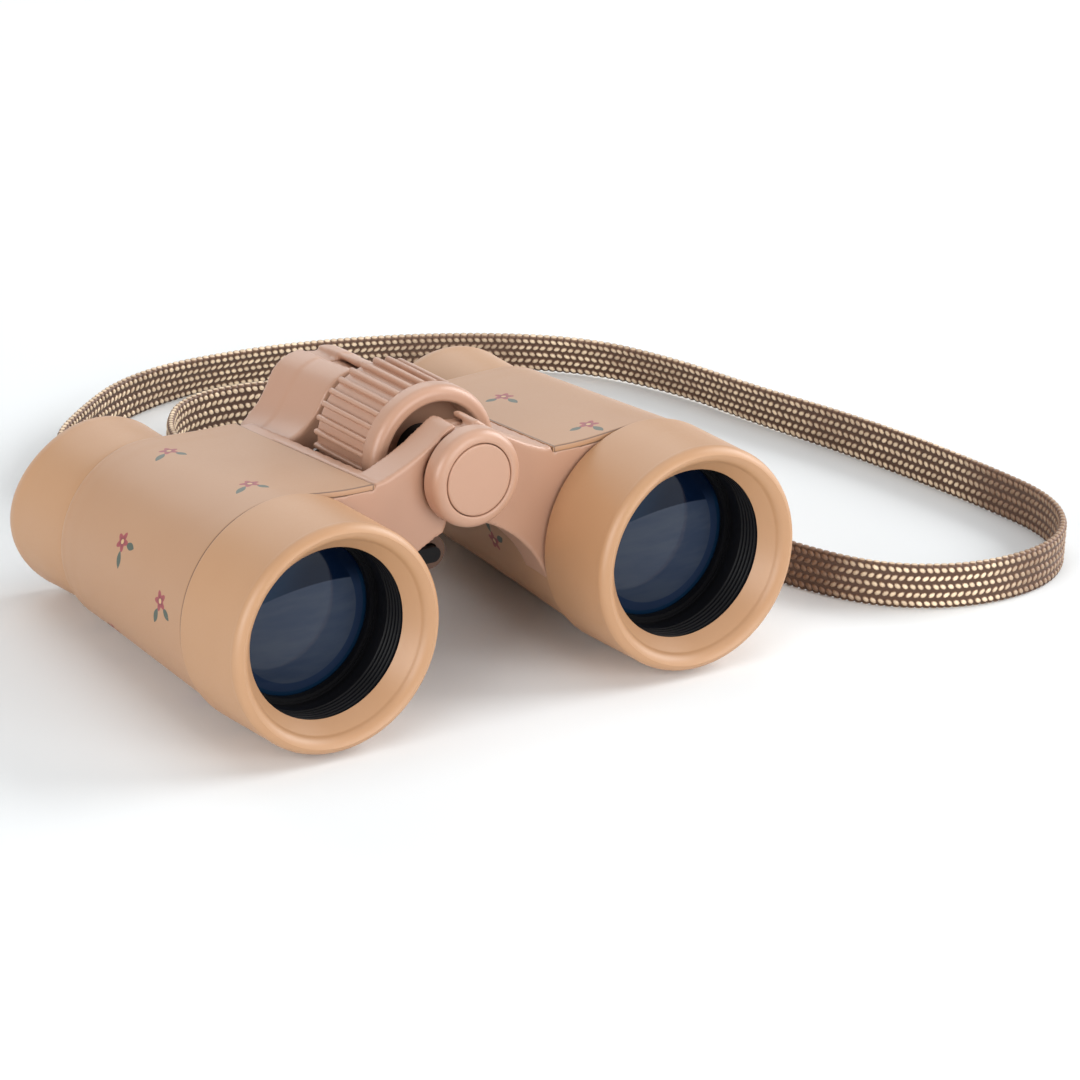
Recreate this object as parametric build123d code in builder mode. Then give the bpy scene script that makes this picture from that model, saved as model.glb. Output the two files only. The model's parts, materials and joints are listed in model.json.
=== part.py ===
"""Toy binoculars: two folding barrels, a ribbed focus wheel and a flat neck strap.

The barrels are drawn in a bench frame whose Y runs along the line of sight, with the
eyepieces at +Y. At rest the eyepiece end lies lower than the objectives, because the
eyecups are thinner than the objective rings, so the bench frame is tilted in the model.
"""

import os
from math import acos, atan2, copysign, cos, hypot, pi, radians, sin, sqrt, tan

from build123d import *

os.makedirs("parts", exist_ok=True)

# ---- driving dimensions, mm ------------------------------------------------------------
HALF_SPACING = 37.1  # from the hinge to the middle of each barrel, opened flat
HINGE_HEIGHT = 17.55  # of the hinge axis over the barrel axes
RING_RADIUS = 20.6  # objective ring, at its widest, by the seam
EYECUP_RADIUS = 16.2
CONTACT_RING = -22.0  # station where the rings touch the floor
CONTACT_EYECUP = 38.8  # station where the eyecups touch it
SIDES = (("left", -1), ("right", 1))

# stations along the line of sight
LIP = -39.8  # front of the objective ring
MOUTH = -35.4  # where the ring's funnel meets the black cell
SEAM = -21.5  # rear face of the ring
BODY_FRONT = -21.1
BODY_REAR = 22.5
GROOVE = 25.1  # between the housing and the eyecup
EYECUP_FRONT = 25.5
EYECUP_REAR = 42.7  # middle of its end, which is longer on the outer side
ARM_FRONT, ARM_REAR = BODY_FRONT, -14.3  # front bridge arms
BACK_ARM_FRONT, BACK_ARM_REAR = 11.5, 28.8  # rear bridge arms
BACK_SPLIT = 22.0  # between their hubs, where their raised rear rim starts
WHEEL_FRONT, WHEEL_REAR = -11.9, 7.6

# radii of a barrel
BODY_FRONT_RADIUS = 20.05
BODY_REAR_RADIUS = 17.05
GROOVE_RADIUS = 15.75
NECK_RADIUS = 17.9  # the housing's neck inside the ring
CELL_RADIUS = 16.2  # lens cell behind its flange
MOUTH_RADIUS = 15.3  # clear opening of the cell
SLEEVE = 1.1  # thickness of the printed sleeve
OCULAR_RADIUS = 10.1
OCULAR_BORE = 8.9
RUNNING_GAP = 0.05  # round a sliding or turning shaft

# hinge
HUB_RADIUS = 7.8
HUB_CLEARANCE = 8.2
AXLE_RADIUS = 2.9
CAP_RADIUS = 8.9
CAP_FRONT, CAP_REAR = -25.8, -22.0
ARM_SPLIT_GAP = 0.2  # between the left and right hubs, along the axle

# bridge, as distances from the hinge plane and heights over the barrel axes
RAIL = 15.8  # edge of the focus wheel's pocket
PANEL_EDGE = 18.4  # edge of the printed sleeve on top
SHELF_ELBOW = 24.8  # where the flat top starts to round into the barrel
SHELF_FRONT = 18.9
SHELF_REAR = 16.6
FLANK_FOOT = 11.0  # lower end of the pocket's side wall

# focus wheel
WHEEL_RADIUS = 12.8
RIB_COUNT = 30
RIB_WIDTH = 1.15
RIB_DEPTH = 0.8
WHEEL_RIM = 4.6  # length of the smooth front rim
SCREW_RADIUS = 4.6

# strap
STRAP_WIDTH = 8.8
STRAP_THICKNESS = 1.5
LAID = STRAP_WIDTH / 2  # height of its middle where it stands on the floor

# ---- bench frame -----------------------------------------------------------------------
TILT = atan2(RING_RADIUS - EYECUP_RADIUS, CONTACT_EYECUP - CONTACT_RING)
AXIS_HEIGHT = RING_RADIUS * cos(TILT) + CONTACT_RING * sin(TILT)
CENTRE = 1.7  # how far the middle of the body's length lies behind the bench frame's origin
BENCH = Plane(origin=(0, -CENTRE, AXIS_HEIGHT), x_dir=(1, 0, 0), z_dir=(0, sin(TILT), cos(TILT)))


def place(x, y, z):
    """Point of the bench frame in the model's frame."""
    return BENCH.from_local_coords((x, y, z))


def station(y):
    """Plane square to the line of sight; extruding it goes towards the objectives."""
    return Plane(origin=place(0, y, 0), x_dir=BENCH.x_dir, z_dir=-BENCH.y_dir)


def along(x, z=0.0):
    """Plane through an axis parallel to the line of sight: X is radius, Y is station."""
    return Plane(origin=place(x, 0, z), x_dir=BENCH.x_dir, z_dir=BENCH.z_dir)


def axis_at(x, z=0.0):
    """Axis parallel to the line of sight."""
    return Axis(place(x, 0, z), BENCH.y_dir)


def outline(plane, *points):
    """Closed straight-sided outline on a plane."""
    with BuildSketch(plane) as flat:
        with BuildLine():
            Polyline(*points, close=True)
        make_face()
    return flat.sketch


def disc(y, x, z, radius):
    """Disc square to the line of sight."""
    with BuildSketch(station(y)) as flat:
        with Locations((x, z)):
            Circle(radius)
    return flat.sketch


def polar(radius, angle):
    """Point of the bridge's cross-section, by its angle in radians about the hinge.

    The angle is measured from straight down, outwards.
    """
    return radius * sin(angle), HINGE_HEIGHT - radius * cos(angle)


def dome(radius, apex, edge):
    """Three points of a lens face, from the optical axis to its edge, on a true sphere."""
    rise = edge - apex
    bend = (radius**2 + rise**2) / (2 * rise)
    half = apex + bend - copysign(sqrt(bend**2 - (radius / 2) ** 2), bend)
    return (0, apex), (radius / 2, half), (radius, edge)


# ---- housing sections ------------------------------------------------------------------
def tangent_point(point, radius, turn):
    """Where a line from a point touches the barrel's circle; turn picks the side."""
    run = hypot(point[0] - HALF_SPACING, point[1])
    bearing = atan2(point[1], point[0] - HALF_SPACING) + turn * acos(radius / run)
    return bearing


def housing_section(y, side, radius, shelf, inset=0.0):
    """Teardrop section of a housing: the barrel with the flat top that meets the bridge."""
    elbow = (SHELF_ELBOW, shelf - inset)
    foot = (RAIL, FLANK_FOOT)
    round_radius = radius - inset
    start = tangent_point(elbow, round_radius, -1)
    end = tangent_point(foot, round_radius, 1)
    middle = (start + end - 2 * pi) / 2
    rim = [(HALF_SPACING + round_radius * cos(a), round_radius * sin(a)) for a in (start, middle, end)]
    with BuildSketch(station(y)) as flat:
        with BuildLine():
            Line((side * RAIL, shelf - inset), (side * elbow[0], elbow[1]))
            Line((side * elbow[0], elbow[1]), (side * rim[0][0], rim[0][1]))
            ThreePointArc(*[(side * across, up) for across, up in rim])
            Line((side * rim[2][0], rim[2][1]), (side * foot[0], foot[1]))
            Line((side * foot[0], foot[1]), (side * RAIL, shelf - inset))
        make_face()
    return flat.sketch


def housing_solid(side, inset=0.0):
    """Tapered housing between its front and rear sections."""
    with BuildPart() as housing:
        front = housing_section(BODY_FRONT, side, BODY_FRONT_RADIUS, SHELF_FRONT, inset)
        rear = housing_section(BODY_REAR, side, BODY_REAR_RADIUS, SHELF_REAR, inset)
        loft([front, rear], ruled=True)
    return housing.part


# ---- bridge arm sections ---------------------------------------------------------------
FOLD_RANGE = radians(44)
RIGHT_TIP = radians(24)  # lower end of the right arms, as an angle about the hinge
LEFT_TIP = -(RIGHT_TIP - FOLD_RANGE) + radians(1.5)
SLAB_END = 1.7  # half of the gap between the arms on top of the hinge
ARM_OVERLAP = 20.4  # how far out the arms run into the housing
RIM_STEP = 0.2  # height of the rear arms' raised rear rim
BACK_ARM_CORNERS = (  # rear arms' section at the front and at the rear, from the hinge outwards
    ((SLAB_END, 27.5), (SLAB_END, 26.0)),
    ((5.4, 26.1), (5.3, 25.4)),
    ((8.0, 23.1), (8.1, 22.9)),
    ((9.3, 21.1), (9.8, 19.8)),
    ((11.5, 18.6), (11.6, 17.0)),
    ((14.6, 16.9), (14.3, 14.7)),
)
BACK_ARM_FOOT = (  # and the rest of it, down to the foot and back towards the hinge
    ((19.5, 15.6), (14.9, 13.0)),
    ((19.5, -3.0), (15.0, 8.0)),
    ((18.6, -3.0), (14.2, 8.0)),
    ((12.0, 4.4), (11.0, 7.6)),
)


def shelf_height(y):
    """Height of the housing's flat top, which falls towards the eyepieces."""
    return SHELF_FRONT + (SHELF_REAR - SHELF_FRONT) * (y - BODY_FRONT) / (BODY_REAR - BODY_FRONT)


def front_arm(y, side):
    """Front arm's section: concave above, arched below."""
    root = (17.4, shelf_height(y) - 0.1)  # where the arm has sunk into the flat top
    tip = LEFT_TIP if side < 0 else RIGHT_TIP
    tip_top = polar(HUB_CLEARANCE, tip)
    tip_foot = polar(HUB_CLEARANCE + 3.0, tip)
    with BuildSketch(station(y)) as flat:
        with BuildLine():
            Line((side * SLAB_END, HINGE_HEIGHT), (side * SLAB_END, 26.7))
            Line((side * SLAB_END, 26.7), (side * 3.2, 26.3))
            ThreePointArc((side * 3.2, 26.3), (side * 9.8, 22.0), (side * root[0], root[1]))
            Line((side * root[0], root[1]), (side * root[0], FLANK_FOOT))
            Line((side * root[0], FLANK_FOOT), (side * ARM_OVERLAP, FLANK_FOOT))
            Line((side * ARM_OVERLAP, FLANK_FOOT), (side * ARM_OVERLAP, -5.0))
            Line((side * ARM_OVERLAP, -5.0), (side * 17.6, -5.0))
            ThreePointArc((side * 17.6, -5.0), (side * 11.4, 3.2), (side * tip_foot[0], tip_foot[1]))
            Line((side * tip_foot[0], tip_foot[1]), (side * tip_top[0], tip_top[1]))
            Line((side * tip_top[0], tip_top[1]), (side * SLAB_END, HINGE_HEIGHT))
        make_face()
    return flat.sketch


def between(front, rear, share):
    """Point part of the way from one point to another."""
    return tuple(a + (b - a) * share for a, b in zip(front, rear))


def back_arm(y, side, drop=0.0):
    """Rear arm's section, whose foot draws in behind the housing; drop lowers its back."""
    tip = LEFT_TIP if side < 0 else RIGHT_TIP
    tip_top = polar(HUB_CLEARANCE, tip)
    tip_foot = polar(HUB_CLEARANCE + 3.0, tip)
    share = (y - BACK_ARM_FRONT) / (BACK_ARM_REAR - BACK_ARM_FRONT)
    foot_share = max(0.0, (y - BACK_SPLIT) / (BACK_ARM_REAR - BACK_SPLIT))
    back = []
    for front, rear in BACK_ARM_CORNERS:
        across, up = between(front, rear, share)
        back.append((side * across, up - drop))
    foot = []
    for front, rear in BACK_ARM_FOOT:
        across, up = between(front, rear, foot_share)
        foot.append((side * across, up))
    with BuildSketch(station(y)) as flat:
        with BuildLine():
            Line((side * SLAB_END, HINGE_HEIGHT), back[0])
            ThreePointArc(back[0], back[1], back[2])
            Line(back[2], back[3])
            ThreePointArc(back[3], back[4], back[5])
            Line(back[5], foot[0])
            Line(foot[0], foot[1])
            Line(foot[1], foot[2])
            ThreePointArc(foot[2], foot[3], (side * tip_foot[0], tip_foot[1]))
            Line((side * tip_foot[0], tip_foot[1]), (side * tip_top[0], tip_top[1]))
            Line((side * tip_top[0], tip_top[1]), (side * SLAB_END, HINGE_HEIGHT))
        make_face()
    return flat.sketch


# ---- housings with their half of the bridge --------------------------------------------
BORE_FRONT, BORE_REAR = 16.0, 13.9  # radii of the tapered bore
BULKHEAD = 18.0  # station where the bore ends
REAR_NECK_RADIUS = 12.6
REAR_NECK_END = 33.0
FRONT_SPLIT = (ARM_FRONT + ARM_REAR) / 2
SLOT = (7.4, 11.2)  # stations of the slot that a focus fork passes through
SLOT_HALF_HEIGHT = 4.2
housings = {}

for name, side in SIDES:
    x = side * HALF_SPACING
    front_hub = (ARM_FRONT, FRONT_SPLIT) if side > 0 else (FRONT_SPLIT, ARM_REAR)
    front_free = (FRONT_SPLIT, ARM_REAR) if side > 0 else (ARM_FRONT, FRONT_SPLIT)
    back_hub = (BACK_SPLIT, BACK_ARM_REAR) if side > 0 else (BACK_ARM_FRONT, BACK_SPLIT)
    back_free = (BACK_ARM_FRONT, BACK_SPLIT) if side > 0 else (BACK_SPLIT, BACK_ARM_REAR)
    with BuildPart() as chassis:
        add(housing_solid(side))
        # rounded rear shoulder, front neck and rear neck
        with BuildSketch(along(x)):
            with BuildLine():
                Line((0, BODY_REAR - 1), (BODY_REAR_RADIUS, BODY_REAR - 1))
                Line((BODY_REAR_RADIUS, BODY_REAR - 1), (BODY_REAR_RADIUS, BODY_REAR))
                ThreePointArc((BODY_REAR_RADIUS, BODY_REAR), (16.75, 24.2), (GROOVE_RADIUS, GROOVE))
                Line((GROOVE_RADIUS, GROOVE), (0, GROOVE))
                Line((0, GROOVE), (0, BODY_REAR - 1))
            make_face()
        revolve(axis=axis_at(x))
        extrude(disc(-17.0, x, 0, NECK_RADIUS), amount=13.5)
        extrude(disc(REAR_NECK_END, x, 0, REAR_NECK_RADIUS), amount=REAR_NECK_END - GROOVE)
        # bridge arms
        loft([front_arm(ARM_FRONT, side), front_arm(ARM_REAR, side)], ruled=True)
        loft([back_arm(BACK_ARM_FRONT, side, RIM_STEP), back_arm(BACK_SPLIT, side, RIM_STEP)], ruled=True)
        loft([back_arm(BACK_SPLIT, side), back_arm(BACK_ARM_REAR, side)], ruled=True)
        for start, end in (front_free, back_free):
            extrude(disc(end + 0.1, 0, HINGE_HEIGHT, HUB_CLEARANCE), amount=end - start + 0.2, mode=Mode.SUBTRACT)
        for start, end in (front_hub, back_hub):
            inner_end = end - ARM_SPLIT_GAP / 2 if end in (FRONT_SPLIT, BACK_SPLIT) else end
            inner_start = start + ARM_SPLIT_GAP / 2 if start in (FRONT_SPLIT, BACK_SPLIT) else start
            extrude(disc(inner_end, 0, HINGE_HEIGHT, HUB_RADIUS), amount=inner_end - inner_start)
        axle_bore = AXLE_RADIUS if side < 0 else AXLE_RADIUS + RUNNING_GAP
        extrude(disc(30, 0, HINGE_HEIGHT, axle_bore), amount=60, mode=Mode.SUBTRACT)
        # tapered bore, cell seat and ocular bore
        with BuildSketch(along(x)):
            with BuildLine():
                Polyline(
                    (0, -40),
                    (CELL_RADIUS, -40),
                    (CELL_RADIUS, -20.4),
                    (BORE_FRONT, -20.4),
                    (BORE_REAR, BULKHEAD),
                    (OCULAR_RADIUS + RUNNING_GAP, BULKHEAD),
                    (OCULAR_RADIUS + RUNNING_GAP, 40),
                    (0, 40),
                    close=True,
                )
            make_face()
        revolve(axis=axis_at(x), mode=Mode.SUBTRACT)
        # slot for the focus fork, along the line from the hinge to the barrel
        lean = atan2(HINGE_HEIGHT, HALF_SPACING)
        slot_plane = Plane(
            origin=place(0, SLOT[1], HINGE_HEIGHT),
            x_dir=BENCH.x_dir * side * cos(lean) - BENCH.z_dir * sin(lean),
            z_dir=-BENCH.y_dir,
        )
        with BuildSketch(slot_plane):
            with Locations((20.5, 0)):
                Rectangle(17, 2 * SLOT_HALF_HEIGHT)
        extrude(amount=SLOT[1] - SLOT[0], mode=Mode.SUBTRACT)
    with BuildPart() as sleeve:
        add(housing_solid(side))
        add(housing_solid(side, SLEEVE), mode=Mode.SUBTRACT)
        extrude(disc(BODY_FRONT + 2, x, 0, NECK_RADIUS + 0.5), amount=3, mode=Mode.SUBTRACT)
        with BuildSketch(BENCH):
            with Locations((side * PANEL_EDGE / 2, 0)):
                Rectangle(PANEL_EDGE, 100)
        extrude(amount=60, both=True, mode=Mode.SUBTRACT)
        # rear end of the sleeve
        with BuildSketch(station(60)):
            with Locations((x, 0)):
                Rectangle(80, 80)
        extrude(amount=40, mode=Mode.SUBTRACT)
        # the rear arm stands on the sleeve's inner corner
        with BuildSketch(BENCH):
            with Locations((side * 10.5, 16)):
                Rectangle(21, 9.2)
        extrude(amount=60, mode=Mode.SUBTRACT)
    with BuildPart() as body:
        add(chassis.part)
        add(sleeve.part, mode=Mode.SUBTRACT)
    housings[name] = body.part
    body.part.label = f"{name}_chassis"
    sleeve.part.label = f"{name}_print_sleeve"
    export_step(body.part, f"parts/{name}_chassis.step")
    export_step(sleeve.part, f"parts/{name}_print_sleeve.step")

# ---- objective end ---------------------------------------------------------------------
LENS_RADIUS = 14.8
SEAT_FRONT = -27.3  # the bore is narrower from here, where the lens sits
SEAT_RADIUS = 14.9
LENS_EDGE = (-25.3, -23.0)
LENS_BACK = -21.95
THREAD_PITCH = 0.95
THREAD_COUNT = 5

for name, side in SIDES:
    x = side * HALF_SPACING
    with BuildPart() as ring:
        with BuildSketch(along(x)):
            with BuildLine():
                Line((NECK_RADIUS, SEAM), (RING_RADIUS - 0.5, SEAM))
                ThreePointArc(
                    (RING_RADIUS - 0.5, SEAM), (RING_RADIUS - 0.15, SEAM - 0.15), (RING_RADIUS, SEAM - 0.5)
                )
                Line((RING_RADIUS, SEAM - 0.5), (20.5, -37.6))
                ThreePointArc((20.5, -37.6), (20.05, -39.2), (19.1, LIP))
                ThreePointArc((19.1, LIP), (18.5, -39.45), (18.0, -38.8))
                Line((18.0, -38.8), (MOUTH_RADIUS, MOUTH))
                Line((MOUTH_RADIUS, MOUTH), (NECK_RADIUS, MOUTH))
                Line((NECK_RADIUS, MOUTH), (NECK_RADIUS, SEAM))
            make_face()
        revolve(axis=axis_at(x))
    ring.part.label = f"{name}_objective_ring"
    export_step(ring.part, f"parts/{name}_objective_ring.step")

    with BuildPart() as cell:
        thread = []
        for turn in range(THREAD_COUNT):
            root = MOUTH + 0.6 + turn * THREAD_PITCH
            thread += [(MOUTH_RADIUS, root), (MOUTH_RADIUS + 0.35, root + 0.25), (MOUTH_RADIUS, root + 0.5)]
        add(
            outline(
                along(x),
                (MOUTH_RADIUS, MOUTH),
                *thread,
                (MOUTH_RADIUS, SEAT_FRONT),
                (SEAT_RADIUS, SEAT_FRONT),
                (SEAT_RADIUS, -23.0),
                (14.0, -23.0),
                (14.0, -20.5),
                (CELL_RADIUS, -20.5),
                (CELL_RADIUS, -30.6),
                (NECK_RADIUS, -30.6),
                (NECK_RADIUS, MOUTH),
            )
        )
        revolve(axis=axis_at(x))
    cell.part.label = f"{name}_lens_cell"
    export_step(cell.part, f"parts/{name}_lens_cell.step")

    with BuildPart() as lens:
        with BuildSketch(along(x)):
            with BuildLine():
                ThreePointArc(*dome(LENS_RADIUS, -27.0, LENS_EDGE[0]))
                Line((LENS_RADIUS, LENS_EDGE[0]), (LENS_RADIUS, LENS_EDGE[1]))
                Line((LENS_RADIUS, LENS_EDGE[1]), (13.9, LENS_EDGE[1]))
                ThreePointArc(*dome(13.9, LENS_BACK, LENS_EDGE[1]))
                Line((0, LENS_BACK), (0, -27.0))
            make_face()
        revolve(axis=axis_at(x))
    lens.part.label = f"{name}_objective_lens"
    export_step(lens.part, f"parts/{name}_objective_lens.step")

    with BuildPart() as retainer:
        add(outline(along(x), (14.2, -27.1), (SEAT_RADIUS, -27.1), (SEAT_RADIUS, -25.4), (14.2, -25.75)))
        revolve(axis=axis_at(x))
    retainer.part.label = f"{name}_lens_retainer"
    export_step(retainer.part, f"parts/{name}_lens_retainer.step")

    with BuildPart() as baffle:
        add(
            outline(
                along(x),
                (13.2, -20.5),
                (15.8, -20.5),
                (15.8, -19.0),
                (14.2, -19.0),
                (9.6, 5.5),
                (8.8, 5.5),
            )
        )
        revolve(axis=axis_at(x))
    baffle.part.label = f"{name}_light_baffle"
    export_step(baffle.part, f"parts/{name}_light_baffle.step")

# ---- eyepiece end ----------------------------------------------------------------------
OCULAR_FRONT, OCULAR_REAR = 8.2, 34.0
OCULAR_LENS = (29.6, 32.6)
END_LEAN = radians(5.5)

for name, side in SIDES:
    x = side * HALF_SPACING
    with BuildPart() as eyecup:
        with BuildSketch(along(x)):
            with BuildLine():
                Line((REAR_NECK_RADIUS, EYECUP_FRONT), (GROOVE_RADIUS, EYECUP_FRONT))
                Line((GROOVE_RADIUS, EYECUP_FRONT), (EYECUP_RADIUS, 38.6))
                Line((EYECUP_RADIUS, 38.6), (15.6, 46))
                Line((15.6, 46), (13.3, 46))
                Line((13.3, 46), (13.3, 40.9))
                Line((13.3, 40.9), (11.0, 35.4))
                Line((11.0, 35.4), (10.6, REAR_NECK_END + 0.2))
                Line((10.6, REAR_NECK_END + 0.2), (REAR_NECK_RADIUS, REAR_NECK_END + 0.2))
                Line((REAR_NECK_RADIUS, REAR_NECK_END + 0.2), (REAR_NECK_RADIUS, EYECUP_FRONT))
            make_face()
        revolve(axis=axis_at(x))
        # the end leans, so that the cup reaches further back beside the temple
        slope = Plane(
            origin=place(x, EYECUP_REAR, 0),
            x_dir=BENCH.z_dir,
            z_dir=BENCH.y_dir * cos(END_LEAN) + BENCH.x_dir * side * sin(-END_LEAN),
        )
        with BuildSketch(slope):
            Circle(30)
        extrude(amount=12, mode=Mode.SUBTRACT)
        end_face = eyecup.faces().sort_by(Axis(place(x, 0, 0), slope.z_dir))[-1]
        fillet(end_face.edges().sort_by(SortBy.LENGTH)[-1], 1.3)
    eyecup.part.label = f"{name}_eyecup"
    export_step(eyecup.part, f"parts/{name}_eyecup.step")

    with BuildPart() as ocular:
        add(
            outline(
                along(x),
                (OCULAR_BORE, OCULAR_FRONT),
                (OCULAR_RADIUS, OCULAR_FRONT),
                (OCULAR_RADIUS, OCULAR_REAR),
                (OCULAR_BORE, OCULAR_REAR),
                (OCULAR_BORE, OCULAR_LENS[0]),
                (8.1, OCULAR_LENS[0]),
                (8.1, OCULAR_LENS[0] - 1),
                (OCULAR_BORE, OCULAR_LENS[0] - 1),
            )
        )
        revolve(axis=axis_at(x))
    ocular.part.label = f"{name}_ocular_tube"
    export_step(ocular.part, f"parts/{name}_ocular_tube.step")

    with BuildPart() as eye_lens:
        with BuildSketch(along(x)):
            with BuildLine():
                ThreePointArc(*dome(OCULAR_BORE, 30.5, OCULAR_LENS[0]))
                Line((OCULAR_BORE, OCULAR_LENS[0]), (OCULAR_BORE, OCULAR_LENS[1]))
                ThreePointArc(*dome(OCULAR_BORE, 31.7, OCULAR_LENS[1]))
                Line((0, 31.7), (0, 30.5))
            make_face()
        revolve(axis=axis_at(x))
    eye_lens.part.label = f"{name}_ocular_lens"
    export_step(eye_lens.part, f"parts/{name}_ocular_lens.step")

    with BuildPart() as keeper:
        add(outline(along(x), (7.9, 32.75), (OCULAR_BORE, 32.6), (OCULAR_BORE, 33.8), (8.5, 33.8)))
        revolve(axis=axis_at(x))
    keeper.part.label = f"{name}_ocular_retainer"
    export_step(keeper.part, f"parts/{name}_ocular_retainer.step")

# ---- hinge -----------------------------------------------------------------------------
DISC_RADIUS = 6.6
WASHER = 0.6
HEAD_RADIUS = 5.0  # of the axle's head, under the cap
HEAD_RECESS = 5.4

with BuildPart() as axle:
    extrude(disc(BACK_ARM_REAR, 0, HINGE_HEIGHT, AXLE_RADIUS), amount=BACK_ARM_REAR - ARM_FRONT + 0.1)
    extrude(disc(ARM_FRONT - 0.1, 0, HINGE_HEIGHT, HEAD_RADIUS), amount=1.3)
axle.part.label = "hinge_axle"
export_step(axle.part, "parts/hinge_axle.step")

with BuildPart() as cap:
    with BuildSketch(along(0, HINGE_HEIGHT)):
        with BuildLine():
            Line((HEAD_RECESS, ARM_FRONT), (HUB_RADIUS, ARM_FRONT))
            Line((HUB_RADIUS, ARM_FRONT), (HUB_RADIUS, CAP_REAR))
            Line((HUB_RADIUS, CAP_REAR), (CAP_RADIUS, CAP_REAR))
            Line((CAP_RADIUS, CAP_REAR), (CAP_RADIUS, CAP_FRONT + 1.9))
            ThreePointArc(
                (CAP_RADIUS, CAP_FRONT + 1.9), (CAP_RADIUS - 0.5, CAP_FRONT + 0.5), (CAP_RADIUS - 1.7, CAP_FRONT)
            )
            Line((CAP_RADIUS - 1.7, CAP_FRONT), (DISC_RADIUS, CAP_FRONT))
            Line((DISC_RADIUS, CAP_FRONT), (DISC_RADIUS, CAP_FRONT + 1.5))
            Line((DISC_RADIUS, CAP_FRONT + 1.5), (HEAD_RECESS, CAP_FRONT + 1.5))
            Line((HEAD_RECESS, CAP_FRONT + 1.5), (HEAD_RECESS, ARM_FRONT))
        make_face()
    revolve(axis=axis_at(0, HINGE_HEIGHT))
cap.part.label = "hinge_cap"
export_step(cap.part, "parts/hinge_cap.step")

with BuildPart() as cap_disc:
    extrude(disc(CAP_FRONT + 1.5, 0, HINGE_HEIGHT, DISC_RADIUS - 0.15), amount=1.5)
    fillet(cap_disc.faces().sort_by(Axis.Y)[0].edges(), 0.2)
cap_disc.part.label = "hinge_cap_disc"
export_step(cap_disc.part, "parts/hinge_cap_disc.step")

with BuildPart() as washer:
    extrude(disc(BACK_ARM_REAR + WASHER, 0, HINGE_HEIGHT, 5.2), amount=WASHER)
washer.part.label = "hinge_washer"
export_step(washer.part, "parts/hinge_washer.step")

with BuildPart() as rear_cap:
    with BuildSketch(along(0, HINGE_HEIGHT)):
        with BuildLine():
            base = BACK_ARM_REAR + WASHER
            Line((0, base), (7.2, base))
            Line((7.2, base), (7.2, base + 0.8))
            ThreePointArc((7.2, base + 0.8), (6.6, base + 1.9), (5.2, base + 2.4))
            Line((5.2, base + 2.4), (0, base + 2.4))
            Line((0, base + 2.4), (0, base))
        make_face()
    revolve(axis=axis_at(0, HINGE_HEIGHT))
rear_cap.part.label = "hinge_rear_cap"
export_step(rear_cap.part, "parts/hinge_rear_cap.step")

# ---- focus drive -----------------------------------------------------------------------
RIB_START = WHEEL_FRONT + WHEEL_RIM
HOLLOW = 9.9  # radius of the wheel's hollows, in front of its web and behind it
WEB = (-6.4, 2.6)
NUT = (5.6, 10.1)
NUT_RADIUS = 6.4
NUT_FLANGE = (0.5, 7.2)  # thickness and radius of the lip that holds the forks on
FORK_EYE = 8.2
FORK_THICKNESS = 0.7
FORK_STATIONS = {"left": 8.5, "right": 9.3}
FORK_WIDTH = 5.0

with BuildPart() as wheel:
    with BuildSketch(along(0, HINGE_HEIGHT)):
        with BuildLine():
            core = WHEEL_RADIUS - RIB_DEPTH
            Line((SCREW_RADIUS, WEB[0]), (HOLLOW, WEB[0]))
            Line((HOLLOW, WEB[0]), (HOLLOW, WHEEL_FRONT + 0.6))
            ThreePointArc((HOLLOW, WHEEL_FRONT + 0.6), (HOLLOW + 0.2, WHEEL_FRONT + 0.15), (10.7, WHEEL_FRONT))
            ThreePointArc((10.7, WHEEL_FRONT), (12.2, WHEEL_FRONT + 0.65), (WHEEL_RADIUS, WHEEL_FRONT + 2.2))
            Line((WHEEL_RADIUS, WHEEL_FRONT + 2.2), (WHEEL_RADIUS, RIB_START))
            Line((WHEEL_RADIUS, RIB_START), (core, RIB_START))
            Line((core, RIB_START), (core, WHEEL_REAR))
            Line((core, WHEEL_REAR), (HOLLOW, WHEEL_REAR))
            Line((HOLLOW, WHEEL_REAR), (HOLLOW, WEB[1]))
            Line((HOLLOW, WEB[1]), (SCREW_RADIUS, WEB[1]))
            Line((SCREW_RADIUS, WEB[1]), (SCREW_RADIUS, WEB[0]))
        make_face()
    revolve(axis=axis_at(0, HINGE_HEIGHT))
    with BuildSketch(station(WHEEL_REAR)):
        with Locations((0, HINGE_HEIGHT)):
            with PolarLocations(WHEEL_RADIUS - RIB_DEPTH / 2 - 0.1, RIB_COUNT):
                Rectangle(RIB_DEPTH + 0.2, RIB_WIDTH)
    extrude(amount=WHEEL_REAR - RIB_START)
wheel.part.label = "focus_wheel"
export_step(wheel.part, "parts/focus_wheel.step")

with BuildPart() as screw:
    extrude(disc(BACK_ARM_FRONT - 0.1, 0, HINGE_HEIGHT, SCREW_RADIUS), amount=BACK_ARM_FRONT - ARM_REAR - 0.2)
    extrude(disc(20, 0, HINGE_HEIGHT, AXLE_RADIUS + RUNNING_GAP), amount=40, mode=Mode.SUBTRACT)
screw.part.label = "focus_screw"
export_step(screw.part, "parts/focus_screw.step")

with BuildPart() as nut:
    extrude(disc(NUT[1], 0, HINGE_HEIGHT, NUT_RADIUS), amount=NUT[1] - NUT[0])
    extrude(disc(NUT[1] + NUT_FLANGE[0], 0, HINGE_HEIGHT, NUT_FLANGE[1]), amount=NUT_FLANGE[0])
    extrude(disc(20, 0, HINGE_HEIGHT, SCREW_RADIUS + RUNNING_GAP), amount=40, mode=Mode.SUBTRACT)
nut.part.label = "focus_nut"
export_step(nut.part, "parts/focus_nut.step")

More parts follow.
